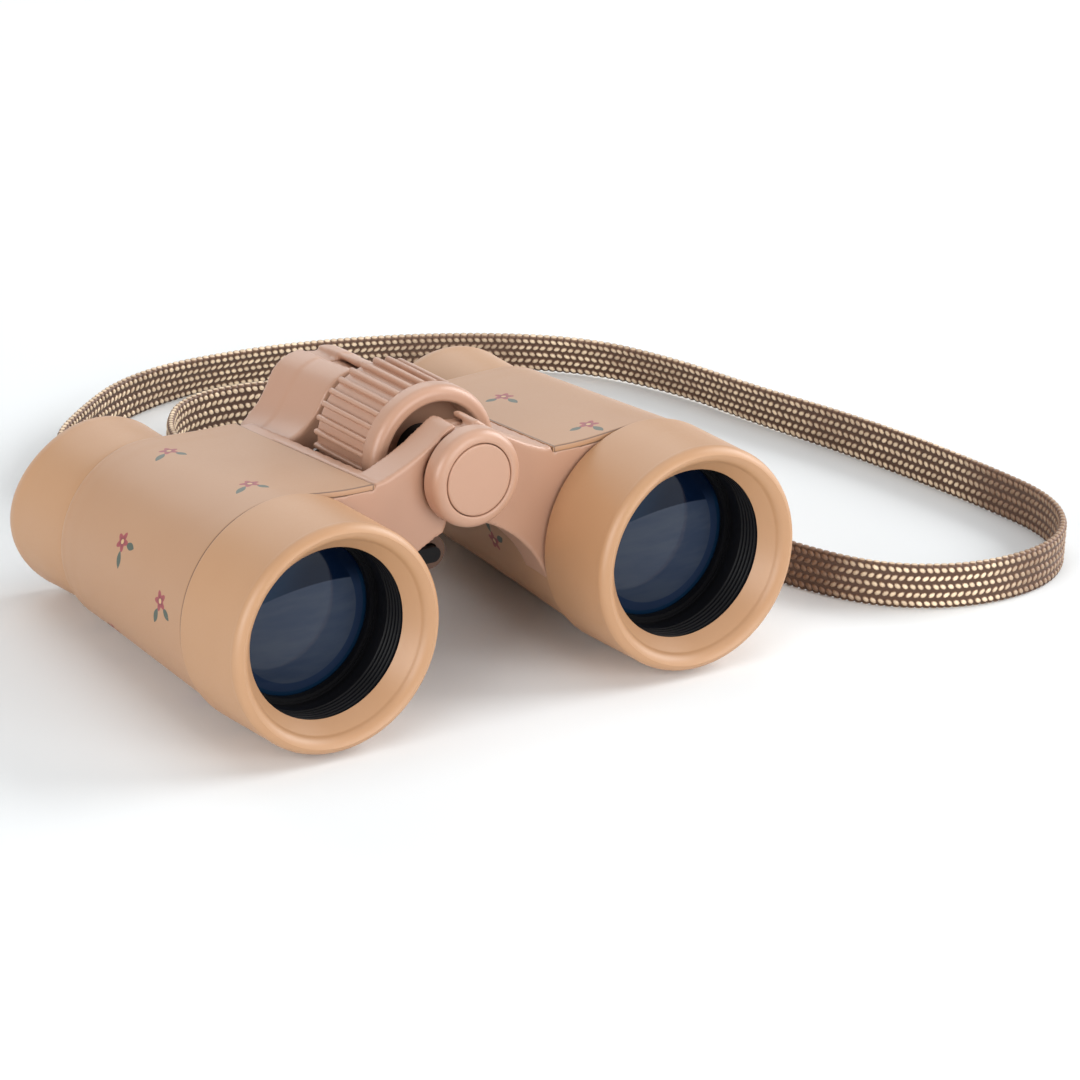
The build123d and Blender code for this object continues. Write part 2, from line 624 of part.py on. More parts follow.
for name, side in SIDES:
    x = side * HALF_SPACING
    lean = atan2(HINGE_HEIGHT, HALF_SPACING)
    rear = FORK_STATIONS[name] + FORK_THICKNESS
    eye_bore = NUT_RADIUS if side < 0 else NUT_RADIUS + RUNNING_GAP
    reach = Plane(
        origin=place(0, rear, HINGE_HEIGHT),
        x_dir=BENCH.x_dir * side * cos(lean) - BENCH.z_dir * sin(lean),
        z_dir=-BENCH.y_dir,
    )
    with BuildPart() as fork:
        extrude(disc(rear, 0, HINGE_HEIGHT, FORK_EYE), amount=FORK_THICKNESS)
        with BuildSketch(reach):
            with Locations((FORK_EYE - 1 + 12.5, 0)):
                Rectangle(25, FORK_WIDTH)
        extrude(amount=FORK_THICKNESS)
        extrude(disc(20, 0, HINGE_HEIGHT, eye_bore), amount=40, mode=Mode.SUBTRACT)
        extrude(disc(20, x, 0, OCULAR_RADIUS), amount=40, mode=Mode.SUBTRACT)
    fork.part.label = f"{name}_focus_fork"
    export_step(fork.part, f"parts/{name}_focus_fork.step")

# ---- strap -----------------------------------------------------------------------------
LUG = (-1.6, 0.6)  # middle of the lug's bar, across and up, in the bench frame
BAR_FRONT, BAR_REAR = -13.1, -3.4
BAR_RADIUS = 1.4
BAR_HEAD = 1.9
LOOP_INSIDE = 1.7
LOOP_OUTSIDE = 3.2
LOOP_FRONT, LOOP_REAR = -12.8, -4.0

with BuildPart() as lug:
    extrude(disc(BAR_REAR, *LUG, BAR_RADIUS), amount=BAR_REAR - BAR_FRONT)
    extrude(disc(BAR_REAR + 0.8, *LUG, BAR_HEAD), amount=0.8)
    with BuildSketch(station(BAR_FRONT)):
        with Locations((-9.9, LUG[1])):
            Rectangle(16.6, 2 * BAR_RADIUS)
        with Locations(LUG):
            Circle(BAR_RADIUS)
    extrude(amount=BAR_FRONT - ARM_REAR)
    add(housings["left"], mode=Mode.SUBTRACT)
lug.part.label = "strap_lug"
export_step(lug.part, "parts/strap_lug.step")

EXIT_HEIGHT = 18.0  # middle of the strap where it leaves the stitched end
STRAP_ROUTE = [
    (-9.4, -4.0, EXIT_HEIGHT),
    (-9.4, 16.0, EXIT_HEIGHT),
    (-10.8, 37.0, 14.2),
    (-15.6, 56.0, 8.4),
    (-21.5, 72.0, LAID),
    (-19.6, 84.6, LAID),
    (-9.8, 93.2, LAID),
    (5.0, 103.2, LAID),
    (24.0, 107.8, LAID),
    (49.0, 105.2, LAID),
    (76.0, 96.4, LAID),
    (97.5, 83.4, LAID),
    (107.6, 66.0, LAID),
    (113.0, 47.5, LAID),
    (121.8, 24.5, LAID),
    (128.4, -2.0, LAID),
    (131.4, -22.5, LAID),
    (121.0, -37.0, LAID),
    (101.5, -39.9, LAID),
    (84.5, -32.6, LAID),
    (75.0, -17.5, LAID),
    (67.5, 7.0, LAID),
    (62.8, 34.0, LAID),
    (60.5, 62.0, LAID),
    (50.0, 80.6, LAID),
    (31.0, 90.9, LAID),
    (12.0, 91.4, LAID),
    (1.8, 80.5, LAID),
    (-4.2, 62.0, 7.4),
    (-6.2, 40.0, 13.4),
    (-6.6, 18.0, EXIT_HEIGHT),
    (-6.6, -4.0, EXIT_HEIGHT),
]
LAID_ROUTE = [(across, y - CENTRE, up) for across, y, up in STRAP_ROUTE]
LIMIT_SHARE = 0.45  # of the shorter run, taken up by each arc


def route_radii(points):
    """Arc radius at each inner point of a route, and its turn in degrees."""
    radii = []
    turns = []
    for before, here, after in zip(points, points[1:], points[2:]):
        run_in = Vector(*here) - Vector(*before)
        run_out = Vector(*after) - Vector(*here)
        turn = run_in.get_angle(run_out)
        shorter = min(run_in.length, run_out.length)
        radii.append(LIMIT_SHARE * shorter / tan(radians(turn) / 2))
        turns.append(turn)
    return radii, turns


strap_radii, strap_turns = route_radii(LAID_ROUTE)
for point, radius, turn in zip(LAID_ROUTE[1:], strap_radii, strap_turns):
    print("strap point", point, "radius", round(radius, 1), "turn", round(turn, 1))

with BuildPart() as strap:
    with BuildLine() as route:
        FilletPolyline(*LAID_ROUTE, radius=strap_radii)
    with BuildSketch(Plane(origin=LAID_ROUTE[0], x_dir=(1, 0, 0), z_dir=(0, 1, 0))):
        Rectangle(STRAP_THICKNESS, STRAP_WIDTH)
    upright = route.wires()[0].translate((0, 0, 30))
    sweep(path=route.wires()[0], binormal=upright)
route_length = route.wires()[0].length
print("strap length", round(route_length, 1), "volume", round(strap.part.volume, 1))
print("section times length", round(route_length * STRAP_THICKNESS * STRAP_WIDTH, 1))
strap.part.label = "strap"
export_step(strap.part, "parts/strap.step")

with BuildPart() as end_loop:
    extrude(disc(LOOP_REAR, *LUG, LOOP_OUTSIDE), amount=LOOP_REAR - LOOP_FRONT)
    with BuildSketch(Plane(origin=(0, LAID_ROUTE[0][1], 0), x_dir=(1, 0, 0), z_dir=(0, -1, 0))):
        with Locations((-7.6, EXIT_HEIGHT)):
            Rectangle(6.0, STRAP_WIDTH)
    extrude(amount=LOOP_REAR - LOOP_FRONT)
    extrude(disc(0, *LUG, LOOP_INSIDE), amount=20, mode=Mode.SUBTRACT)
end_loop.part.label = "strap_end_loop"
export_step(end_loop.part, "parts/strap_end_loop.step")
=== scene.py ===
"""Toy binoculars: the moulded barrels, printed sleeves, coated lenses, ribbed wheel and braided strap.

Lengths inside the classes are millimetres in the bench frame, whose Y runs along the line of
sight with the eyepieces at +Y and whose origin lies between the barrels, level with their axes.
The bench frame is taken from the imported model, and every mesh is written in the row frame.
"""

import json
import logging
import math
import random
from dataclasses import dataclass, field, replace
from enum import Enum
from typing import Callable, Iterable, Sequence

import bmesh
import bpy
from mathutils import Matrix, Vector


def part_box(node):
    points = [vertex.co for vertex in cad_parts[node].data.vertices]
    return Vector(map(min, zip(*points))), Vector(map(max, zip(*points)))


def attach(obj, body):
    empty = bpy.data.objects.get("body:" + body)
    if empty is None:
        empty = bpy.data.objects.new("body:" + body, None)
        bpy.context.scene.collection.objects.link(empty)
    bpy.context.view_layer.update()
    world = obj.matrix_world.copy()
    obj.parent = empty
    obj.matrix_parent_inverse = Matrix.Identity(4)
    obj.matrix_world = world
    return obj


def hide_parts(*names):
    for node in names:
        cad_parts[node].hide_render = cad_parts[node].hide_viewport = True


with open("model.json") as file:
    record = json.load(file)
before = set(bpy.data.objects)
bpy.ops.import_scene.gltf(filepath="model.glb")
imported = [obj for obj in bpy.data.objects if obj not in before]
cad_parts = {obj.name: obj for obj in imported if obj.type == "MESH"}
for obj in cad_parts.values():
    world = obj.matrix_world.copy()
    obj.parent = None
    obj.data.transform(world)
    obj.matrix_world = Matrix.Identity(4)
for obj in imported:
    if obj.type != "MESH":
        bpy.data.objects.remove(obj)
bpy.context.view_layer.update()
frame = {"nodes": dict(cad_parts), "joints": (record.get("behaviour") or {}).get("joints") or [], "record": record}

MM = 0.001
MERGE_DISTANCE = 1e-4
ON_AXIS = 1e-6
DOME_STEPS = 24
CREASE_ANGLE = math.radians(40)
log = logging.getLogger("binoculars")

Point2 = tuple[float, float]
Point3 = tuple[float, float, float]
Colour = tuple[float, float, float]


class Side(Enum):
    """The two barrels, with their sign along X."""

    LEFT = -1
    RIGHT = 1

    @property
    def word(self) -> str:
        """The side's name as it stands in node names."""
        return self.name.lower()

    @property
    def body(self) -> str:
        """The moving body that this side's fixed pieces belong to."""
        return f"{self.word}_half"


# ---- shader building -------------------------------------------------------------------


class Value:
    """A shader socket with arithmetic: an expression on values adds its Math nodes."""

    def __init__(self, shade: "Shade", socket: bpy.types.NodeSocket) -> None:
        """Wrap a socket.

        Args:
            shade: the material being built.
            socket: the output that carries the number.
        """
        self.shade = shade
        self.socket = socket

    def _join(self, operation: str, *others: "Value | float", first: bool = True) -> "Value":
        """Add one Math node.

        Args:
            operation: the Math node's operation.
            others: the further operands.
            first: whether this value is the first operand.

        Returns:
            The node's result.
        """
        operands = (self, *others) if first else (*others, self)
        return self.shade.add("ShaderNodeMath", {"operation": operation}, *operands)

    def __add__(self, other: "Value | float") -> "Value":
        """Sum."""
        return self._join("ADD", other)

    __radd__ = __add__

    def __sub__(self, other: "Value | float") -> "Value":
        """Difference."""
        return self._join("SUBTRACT", other)

    def __rsub__(self, other: float) -> "Value":
        """Difference from a number."""
        return self._join("SUBTRACT", other, first=False)

    def __mul__(self, other: "Value | float") -> "Value":
        """Product."""
        return self._join("MULTIPLY", other)

    __rmul__ = __mul__

    def __truediv__(self, other: "Value | float") -> "Value":
        """Quotient."""
        return self._join("DIVIDE", other)

    def __pow__(self, other: "Value | float") -> "Value":
        """Power."""
        return self._join("POWER", other)

    def step(self, low: float, high: float) -> "Value":
        """Smooth step.

        Args:
            low: the value that gives 0.
            high: the value that gives 1.

        Returns:
            The eased share between the two.
        """
        settings = {"interpolation_type": "SMOOTHSTEP"}
        if low < high:
            return self.shade.add("ShaderNodeMapRange", settings, self, low, high, 0.0, 1.0)
        return self.shade.add("ShaderNodeMapRange", settings, self, high, low, 1.0, 0.0)

    def greatest(self, other: "Value | float") -> "Value":
        """The larger of the two."""
        return self._join("MAXIMUM", other)

    def cosine(self) -> "Value":
        """Cosine of an angle in radians."""
        return self._join("COSINE")


class Shade:
    """One node material and the methods that add nodes to it."""

    def __init__(self, name: str) -> None:
        """Start a material with a Principled shader.

        Args:
            name: the material's name.
        """
        self.material = bpy.data.materials.new(name)
        self.material.use_nodes = True
        self.tree = self.material.node_tree
        self.shader = self.tree.nodes["Principled BSDF"]

    def add(
        self, kind: str, settings: dict[str, object], *inputs: object, output: int | str = 0
    ) -> Value:
        """Add a node, set its properties first and then its inputs in order.

        Args:
            kind: the node's type.
            settings: its properties.
            inputs: a value, a number, a colour or None for each input socket.
            output: which output to return.

        Returns:
            The wrapped output.
        """
        node = self.tree.nodes.new(kind)
        for key, value in settings.items():
            setattr(node, key, value)
        sockets = [s for s in node.inputs if s.enabled]
        for socket, value in zip(sockets, inputs):
            self.feed(socket, value)
        outputs = [s for s in node.outputs if s.enabled] if isinstance(output, int) else node.outputs
        return Value(self, outputs[output])

    def feed(self, socket: bpy.types.NodeSocket, value: object) -> None:
        """Link or set one input.

        Args:
            socket: the input.
            value: a wrapped output, a number, a colour, or None to leave it.
        """
        if isinstance(value, Value):
            self.tree.links.new(value.socket, socket)
        elif isinstance(value, tuple) and len(value) == 3 and socket.type == "RGBA":
            socket.default_value = (*value, 1.0)
        elif value is not None:
            socket.default_value = value

    def set(self, **values: object) -> None:
        """Set the Principled shader's inputs, with underscores for spaces in their names."""
        for key, value in values.items():
            name = " ".join(word if word.isupper() else word.capitalize() for word in key.split("_"))
            self.feed(self.shader.inputs[name], value)

    def place(self, name: str = "Object") -> Value:
        """A coordinate output, in metres for Object."""
        return self.add("ShaderNodeTexCoord", {}, output=name)

    def split(self, vector: Value) -> tuple[Value, Value, Value]:
        """Take a vector apart.

        Args:
            vector: the vector.

        Returns:
            Its three parts.
        """
        parts = self.add("ShaderNodeSeparateXYZ", {}, vector)
        node = parts.socket.node
        return tuple(Value(self, node.outputs[i]) for i in range(3))

    def noise(self, place: Value, size: float, detail: float) -> Value:
        """Noise from 0 to 1.

        Args:
            place: the coordinates, in metres.
            size: the size of a feature, in millimetres.
            detail: octaves.

        Returns:
            The noise factor.
        """
        settings = {"noise_dimensions": "3D"}
        return self.add("ShaderNodeTexNoise", settings, place, 1 / (size * MM), detail, 0.5)

    def blend(self, share: "Value | float", low: "Value | Colour", high: "Value | Colour") -> Value:
        """Mix of two colours.

        Args:
            share: how much of the second.
            low: the first colour.
            high: the second colour.

        Returns:
            The mixed colour.
        """
        return self.add("ShaderNodeMix", {"data_type": "RGBA"}, share, low, high)

    def bump(self, height: Value, distance: float, strength: float) -> Value:
        """Bump from a height.

        Args:
            height: the height, from 0 to 1.
            distance: the height's size in millimetres.
            strength: how much of it shows.

        Returns:
            The normal.
        """
        bump = self.add("ShaderNodeBump", {})
        inputs = bump.socket.node.inputs
        self.feed(inputs["Strength"], strength)
        self.feed(inputs["Distance"], distance * MM)
        self.feed(inputs["Height"], height)
        return bump


@dataclass(frozen=True)
class MouldedPlastic:
    """Satin moulded plastic: faint clouds of a second tone, a fine orange-peel grain and a sheen."""

    name: str
    colour: Colour
    shadow_tone: Colour
    roughness: float = 0.42
    cloud_size: float = 24.0
    cloud_share: float = 0.55
    cloud_gloss: float = 0.08
    grain_size: float = 0.55
    grain_depth: float = 0.012
    grain_gloss: float = 0.10
    sheen: float = 0.7
    refraction: float = 1.46

    def paint(self) -> bpy.types.Material:
        """Build the material.

        Returns:
            The material.
        """
        shade = Shade(self.name)
        place = shade.place()
        cloud = shade.noise(place, self.cloud_size, 3.0)
        grain = shade.noise(place, self.grain_size, 2.0)
        ground = shade.blend(cloud.step(0.3, 0.75) * self.cloud_share, self.colour, self.shadow_tone)
        gloss = (cloud - 0.5) * self.cloud_gloss + (grain - 0.5) * self.grain_gloss
        shade.set(
            Base_Color=self.printed(shade, place, ground),
            Roughness=self.roughness + gloss,
            Normal=shade.bump(grain, self.grain_depth, 0.6),
            Specular_IOR_Level=self.sheen,
            IOR=self.refraction,
        )
        return shade.material

    def printed(self, shade: Shade, place: Value, ground: Value) -> Value:
        """The colour with what is printed on it, which is nothing on plain plastic."""
        return ground


@dataclass(frozen=True)
class Leaf:
    """One pointed leaf of a flower: its lean in radians, half its length and its distance out."""

    lean: float
    length: float
    reach: float


@dataclass(frozen=True)
class PrintedSkin(MouldedPlastic):
    """The sleeve's satin skin with small scattered flowers, laid out on the unrolled sleeve.

    The sleeve's UV map is in metres: round the barrel from the panel edge, and along it. A
    flower's place is those two in millimetres, followed by its turn in degrees.
    """

    cloud_share: float = 0.5
    grain_size: float = 0.5
    grain_depth: float = 0.010
    grain_gloss: float = 0.08
    petal: Colour = (0.300, 0.030, 0.048)
    petal_dark: Colour = (0.160, 0.012, 0.026)
    leaf: Colour = (0.020, 0.062, 0.048)
    heart: Colour = (0.60, 0.40, 0.20)
    flowers: tuple[Point3, ...] = ()
    scale: float = 1.3
    span: float = 5.5
    far_off: Point3 = (90.0, 90.0, 0.0)
    petals: float = 5.0
    petal_radius: float = 1.12
    petal_wave: float = 0.30
    heart_radius: float = 0.34
    leaves: tuple[Leaf, ...] = (Leaf(0.55, 1.25, 2.45), Leaf(-0.85, 1.05, 2.2))
    leaf_width: float = 0.52
    petal_share: float = 0.94
    leaf_share: float = 0.92
    wear_size: float = 0.35
    wear_share: float = 0.3
    # painted shade in lines along the seams: its strength, the two end stations and its colour
    seam_share: float = 0.85
    seams: Point2 = (-21.1, 25.1)
    seam_tone: Colour = (0.130, 0.068, 0.038)

    def printed(self, shade: Shade, place: Value, ground: Value) -> Value:
        """Lay the painted seam shade, the leaves and the petals over the ground.

        Args:
            shade: the material being built.
            place: the object coordinates.
            ground: the plain skin's colour.

        Returns:
            The printed colour.
        """
        across, along, _ = shade.split(self.nearest(shade))
        petal_mask, petal_colour = self.flower(shade, across, along)
        wear = shade.noise(place, self.wear_size, 2.0).step(0.62, 0.8)
        fade = 1.0 - wear * self.wear_share
        # painted shade along the seams
        coloured = shade.blend(self.seam(shade) * self.seam_share, ground, self.seam_tone)
        leaf_mask = self.leaf_pair(shade, across, along) * fade * self.leaf_share
        coloured = shade.blend(leaf_mask, coloured, self.leaf)
        return shade.blend(petal_mask * fade * self.petal_share, coloured, petal_colour)

    def seam(self, shade: Shade) -> Value:
        """A line of painted shade at the sleeve's two ends and along its panel edge, over the gaps beside them.

        Args:
            shade: the material being built.

        Returns:
            The mask of the painted shade.
        """
        girth, station, _ = shade.split(shade.add("ShaderNodeUVMap", {"uv_map": "girth"}))
        front, rear = (edge * MM for edge in self.seams)
        front_line = station.step(front + 0.42 * MM, front + 0.20 * MM)
        front_wall = station.step(front + 0.03 * MM, front + 0.08 * MM)
        rear_line = station.step(rear - 0.34 * MM, rear - 0.16 * MM)
        panel_line = girth.step(0.50 * MM, 0.30 * MM) * girth.step(0.12 * MM, 0.20 * MM)
        return (front_line * front_wall).greatest(rear_line).greatest(panel_line)

    def nearest(self, shade: Shade) -> Value:
        """Place relative to the nearest flower, in millimetres and in its own turn.

        Args:
            shade: the material being built.

        Returns:
            The relative place, or one far off where no flower is near.
        """
        sheet = shade.add("ShaderNodeUVMap", {"uv_map": "girth"})
        found: Value | Point3 = self.far_off
        for round_place, station, turn in self.flowers:
            local = shade.add(
                "ShaderNodeMapping",
                {"vector_type": "TEXTURE"},
                sheet,
                (round_place * MM, station * MM, 0.0),
                (0.0, 0.0, math.radians(turn)),
                (self.scale * MM, self.scale * MM, MM),
            )
            reach = shade.add("ShaderNodeVectorMath", {"operation": "LENGTH"}, local, output="Value")
            near = shade.add("ShaderNodeMath", {"operation": "LESS_THAN"}, reach, self.span)
            found = shade.add("ShaderNodeMix", {"data_type": "VECTOR"}, near, found, local)
        return found

    def flower(self, shade: Shade, across: Value, along: Value) -> tuple[Value, Value]:
        """A five-petalled flower.

        Args:
            shade: the material being built.
            across: millimetres across from the flower's middle.
            along: millimetres along from it.

        Returns:
            Its mask and its colour.
        """
        radius = (across * across + along * along) ** 0.5
        angle = shade.add("ShaderNodeMath", {"operation": "ARCTAN2"}, along, across)
        petal_edge = self.petal_radius + (angle * self.petals).cosine() * self.petal_wave
        mask = (petal_edge - radius).step(-0.05, 0.05)
        vein = (radius / petal_edge).step(0.15, 0.9)
        tone = shade.blend(vein, self.petal_dark, self.petal)
        return mask, shade.blend((self.heart_radius - radius).step(-0.04, 0.04), tone, self.heart)

    def leaf_pair(self, shade: Shade, across: Value, along: Value) -> Value:
        """Two pointed leaves below the flower.

        Args:
            shade: the material being built.
            across: millimetres across from the flower's middle.
            along: millimetres along from it.

        Returns:
            The mask of the leaves.
        """
        masks = []
        for leaf in self.leaves:
            tip = Vector((math.sin(leaf.lean), -math.cos(leaf.lean)))
            shift_x = across - tip.x * leaf.reach
            shift_y = along - tip.y * leaf.reach
            run = shift_x * tip.x + shift_y * tip.y
            side = shift_y * tip.x - shift_x * tip.y
            ratio = run / leaf.length
            width = (1.0 - ratio * ratio).greatest(0.0) * self.leaf_width
            side_size = shade.add("ShaderNodeMath", {"operation": "ABSOLUTE"}, side)
            masks.append((width - side_size).step(-0.03, 0.03) * (ratio * ratio).step(1.0, 0.98))
        return masks[0].greatest(masks[1])


@dataclass(frozen=True)
class BlackPlastic:
    """Black satin plastic of the lens cells and tubes, with a little dust in it."""

    name: str
    colour: Colour = (0.004, 0.004, 0.005)
    dust_tone: Colour = (0.020, 0.020, 0.021)
    dust_size: float = 1.2
    dust_share: float = 0.2
    dust_gloss: float = 0.12
    grain_size: float = 0.4
    grain_depth: float = 0.006
    roughness: float = 0.40
    gleam: float = 0.16

    def paint(self) -> bpy.types.Material:
        """Build the material.

        Returns:
            The material.
        """
        shade = Shade(self.name)
        place = shade.place()
        dust = shade.noise(place, self.dust_size, 4.0).step(0.62, 0.82)
        grain = shade.noise(place, self.grain_size, 2.0)
        shade.set(
            Base_Color=shade.blend(dust * self.dust_share, self.colour, self.dust_tone),
            Roughness=self.roughness + dust * self.dust_gloss,
            Specular_IOR_Level=self.gleam,
            Normal=shade.bump(grain, self.grain_depth, 0.5),
        )
        return shade.material


@dataclass(frozen=True)
class CoatedGlass:
    """Coated glass over a dark barrel, coloured with a painted pale sky reflection below a slanting
    edge, a navy painted reflection round it, and painted shade at the rim.
    """

    name: str
    side: Side
    # painted reflection of a pale sky
    patch: Colour = (0.050, 0.064, 0.094)
    # navy painted reflection round the sky reflection
    border: Colour = (0.019, 0.034, 0.074)
    # painted shade at the rim, and darker painted shade deeper in the bore
    rim: Colour = (0.006, 0.026, 0.062)
    night: Colour = (0.002, 0.007, 0.022)
    station: float = -27.0
    edge_slope: float = 0.16
    edge_height: float = 5.3
    bow_place: float = 2.0
    bow: float = 0.012
    patch_radius: float = 11.95
    border_radius: float = 13.55
    softness: float = 0.1
    # streaks in the painted sky reflection
    streak_size: float = 4.0
    streak_share: float = 0.45
    roughness: float = 0.10
    gleam: float = 0.10
    coat: float = 0.25
    coat_roughness: float = 0.02
    coat_tint: Colour = (0.80, 0.88, 1.0)
    refraction: float = 1.50

    def paint(self) -> bpy.types.Material:
        """Build the material.

        Returns:
            The material.
        """
        shade = Shade(self.name)
        place = shade.place()
        across, rise = self.face(shade, place)
        radius = (across * across + rise * rise) ** 0.5
        bow = (across + self.bow_place) * (across + self.bow_place) * self.bow
        # the painted sky reflection lies below this slanting line
        slant = rise - (across * self.edge_slope + self.edge_height - bow)
        stretched = shade.add("ShaderNodeMapping", {}, place, None, (0.0, 0.35, 0.0), (0.35, 1.0, 1.6))
        streak = shade.noise(stretched, self.streak_size, 3.0).step(0.3, 0.7)
        # painted sky reflection, streaked with the navy painted reflection
        patch = shade.blend(streak * self.streak_share, self.patch, self.border)
        # painted shade, darker towards +X and downwards
        deep = shade.blend((across + 9.0 - rise * 0.4).step(-2.0, 9.0), self.rim, self.night)
        below = shade.blend(slant.step(0.12, -0.12), deep, patch)
        # navy painted reflection blending into the painted shade
        border = shade.blend(slant.step(2.5, -2.0), deep, self.border)
        rim = shade.blend(slant.step(2.5, -1.0), self.night, self.rim)
        inside = shade.blend(self.outside(radius, self.patch_radius), below, border)
        shade.set(
            Base_Color=shade.blend(self.outside(radius, self.border_radius), inside, rim),
            Roughness=self.roughness,
            Specular_IOR_Level=self.gleam,
            Coat_Weight=self.coat,
            Coat_Roughness=self.coat_roughness,
            Coat_Tint=self.coat_tint,
            IOR=self.refraction,
        )
        return shade.material

    def outside(self, radius: Value, edge: float) -> Value:
        """How far a place lies outside a circle, from 0 to 1 over its soft edge."""
        return radius.step(edge - self.softness, edge + self.softness)

    def face(self, shade: Shade, place: Value) -> tuple[Value, Value]:
        """Millimetres across and up from the middle of the lens.

        Args:
            shade: the material being built.
            place: the object coordinates.

        Returns:
            The two distances.
        """
        upright = (BENCH.matrix.to_3x3() @ Vector((0, 0, 1))).normalized()
        middle = BENCH.matrix @ Vector((self.side.value * HALF_SPACING, self.station, 0.0))
        offset = shade.add("ShaderNodeVectorMath", {"operation": "SUBTRACT"}, place, tuple(middle))
        return tuple(
            shade.add("ShaderNodeVectorMath", {"operation": "DOT_PRODUCT"}, offset, way, output="Value")
            * (1 / MM)
            for way in ((1.0, 0.0, 0.0), tuple(upright))
        )


@dataclass(frozen=True)
class PlainSteel:
    """Lightly brushed steel of the axle, washer and focus forks."""

    name: str
    colour: Colour = (0.55, 0.55, 0.56)
    scratch_tone: Colour = (0.32, 0.32, 0.33)
    scratch_size: float = 0.6
    scratch_share: float = 0.4
    scratch_gloss: float = 0.15
    roughness: float = 0.3

    def paint(self) -> bpy.types.Material:
        """Build the material.

        Returns:
            The material.
        """
        shade = Shade(self.name)
        scratch = shade.noise(shade.place(), self.scratch_size, 4.0)
        shade.set(
            Base_Color=shade.blend(scratch * self.scratch_share, self.colour, self.scratch_tone),
            Metallic=1.0,
            Roughness=self.roughness + scratch * self.scratch_gloss,
        )
        return shade.material


@dataclass(frozen=True)
class SatinBraid:
    """Brown satin yarn with a golden highlight painted on the crown of each float, and painted shade
    in the hollows between the floats.

    The mesh carries two numbers at each point: crown, the height on the float from 0 to 1,
    and glint, how strongly that float's painted highlight shows.
    """

    name: str
    colour: Colour
    # a darker fibre tone, and the painted shade in the hollows between the floats and on the bare core
    valley: Colour
    # painted highlight colour on the floats' crowns
    glint: Colour
    fibre_size: float = 0.16
    fibre_share: float = 0.5
    fibre_gloss: float = 0.12
    fibre_depth: float = 0.03
    stretch_size: float = 26.0
    stretch_share: float = 0.35
    glint_share: float = 0.95
    roughness: float = 0.34
    metal: float = 0.15

    def paint(self) -> bpy.types.Material:
        """Build the material.

        Returns:
            The material.
        """
        shade = Shade(self.name)
        place = shade.place()
        fibre = shade.noise(place, self.fibre_size, 3.0)
        stretch = shade.noise(place, self.stretch_size, 1.0)
        crown = shade.add("ShaderNodeAttribute", {"attribute_name": "crown"}, output="Fac")
        chance = shade.add("ShaderNodeAttribute", {"attribute_name": "glint"}, output="Fac")
        # painted highlight: each float's strength, varied in long stretches, shown on its crown
        bright = chance * (stretch.step(0.25, 0.5) * self.stretch_share + (1 - self.stretch_share))
        shine = (crown + (fibre - 0.5) * 0.3).step(0.50, 0.80) * bright
        yarn = shade.blend(fibre.step(0.35, 0.7) * self.fibre_share, self.colour, self.valley)
        # painted shade: the floats' feet and the bare core take the darker colour
        body = shade.blend(crown.step(0.0, 0.6), self.valley, yarn)
        shade.set(
            Base_Color=shade.blend(shine * self.glint_share, body, self.glint),
            Metallic=self.metal,
            Roughness=self.roughness + fibre * self.fibre_gloss,
            Normal=shade.bump(fibre, self.fibre_depth, 0.5),
        )
        return shade.material


# ---- meshes ----------------------------------------------------------------------------


@dataclass(frozen=True)
class Bench:
    """The bench frame's place in the row frame, read from the hinge joint."""

    hinge_rise: float = 17.55

    @property
    def joint(self) -> dict[str, object]:
        """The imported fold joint."""
        return next(j for j in frame["joints"] if j["name"] == "fold")

    @property
    def matrix(self) -> Matrix:
        """The way from bench millimetres to row metres.

        Returns:
            The matrix.
        """
        back = Vector(self.joint["axis"]).normalized()
        right = Vector((1.0, 0.0, 0.0))
        up = right.cross(back)
        origin = Vector(self.joint["pos_m"]) - up * self.hinge_rise * MM
        turn = Matrix((right, back, up)).transposed().to_4x4()
        return Matrix.Translation(origin) @ turn @ Matrix.Scale(MM, 4)

    def half_spacing(self) -> float:
        """Distance of each barrel's axis from the hinge plane."""
        low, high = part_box("right_objective_ring")
        return (low.x + high.x) / 2 / MM


BENCH = Bench()
HALF_SPACING = BENCH.half_spacing()
HINGE_RISE = BENCH.hinge_rise


def rounded(corners: Sequence[Point2], rounding: float, steps: int) -> list[Point2]:
    """Round the corners of a closed outline.

    Args:
        corners: its corners.
        rounding: how far from each corner the rounding starts.
        steps: segments in each rounding.

    Returns:
        The outline's points, with a support point beside each rounding.
    """
    outline: list[Point2] = []
    for index, corner in enumerate(corners):
        here = Vector(corner)
        before, after = Vector(corners[index - 1]), Vector(corners[(index + 1) % len(corners)])
        reach_in = min(rounding, (before - here).length * 0.48)
        reach_out = min(rounding, (after - here).length * 0.48)
        to_before, to_after = (before - here).normalized(), (after - here).normalized()
        start, end = here + to_before * reach_in, here + to_after * reach_out
        outline.append(tuple(start + to_before * reach_in * 0.12))
        for step in range(steps + 1):
            share = step / steps
            point = start * (1 - share) ** 2 + here * 2 * share * (1 - share) + end * share**2
            outline.append(tuple(point))
        outline.append(tuple(end + to_after * reach_out * 0.12))
    return outline


def plain_mesh(holder: bpy.types.Object) -> bpy.types.Mesh:
    """Turn an object's modifiers into a plain mesh and remove the object.

    Args:
        holder: the object with its modifiers.

    Returns:
        The finished mesh.
    """
    bpy.context.scene.collection.objects.link(holder)
    graph = bpy.context.evaluated_depsgraph_get()
    mesh = bpy.data.meshes.new_from_object(holder.evaluated_get(graph))
    bpy.data.objects.remove(holder)
    return mesh


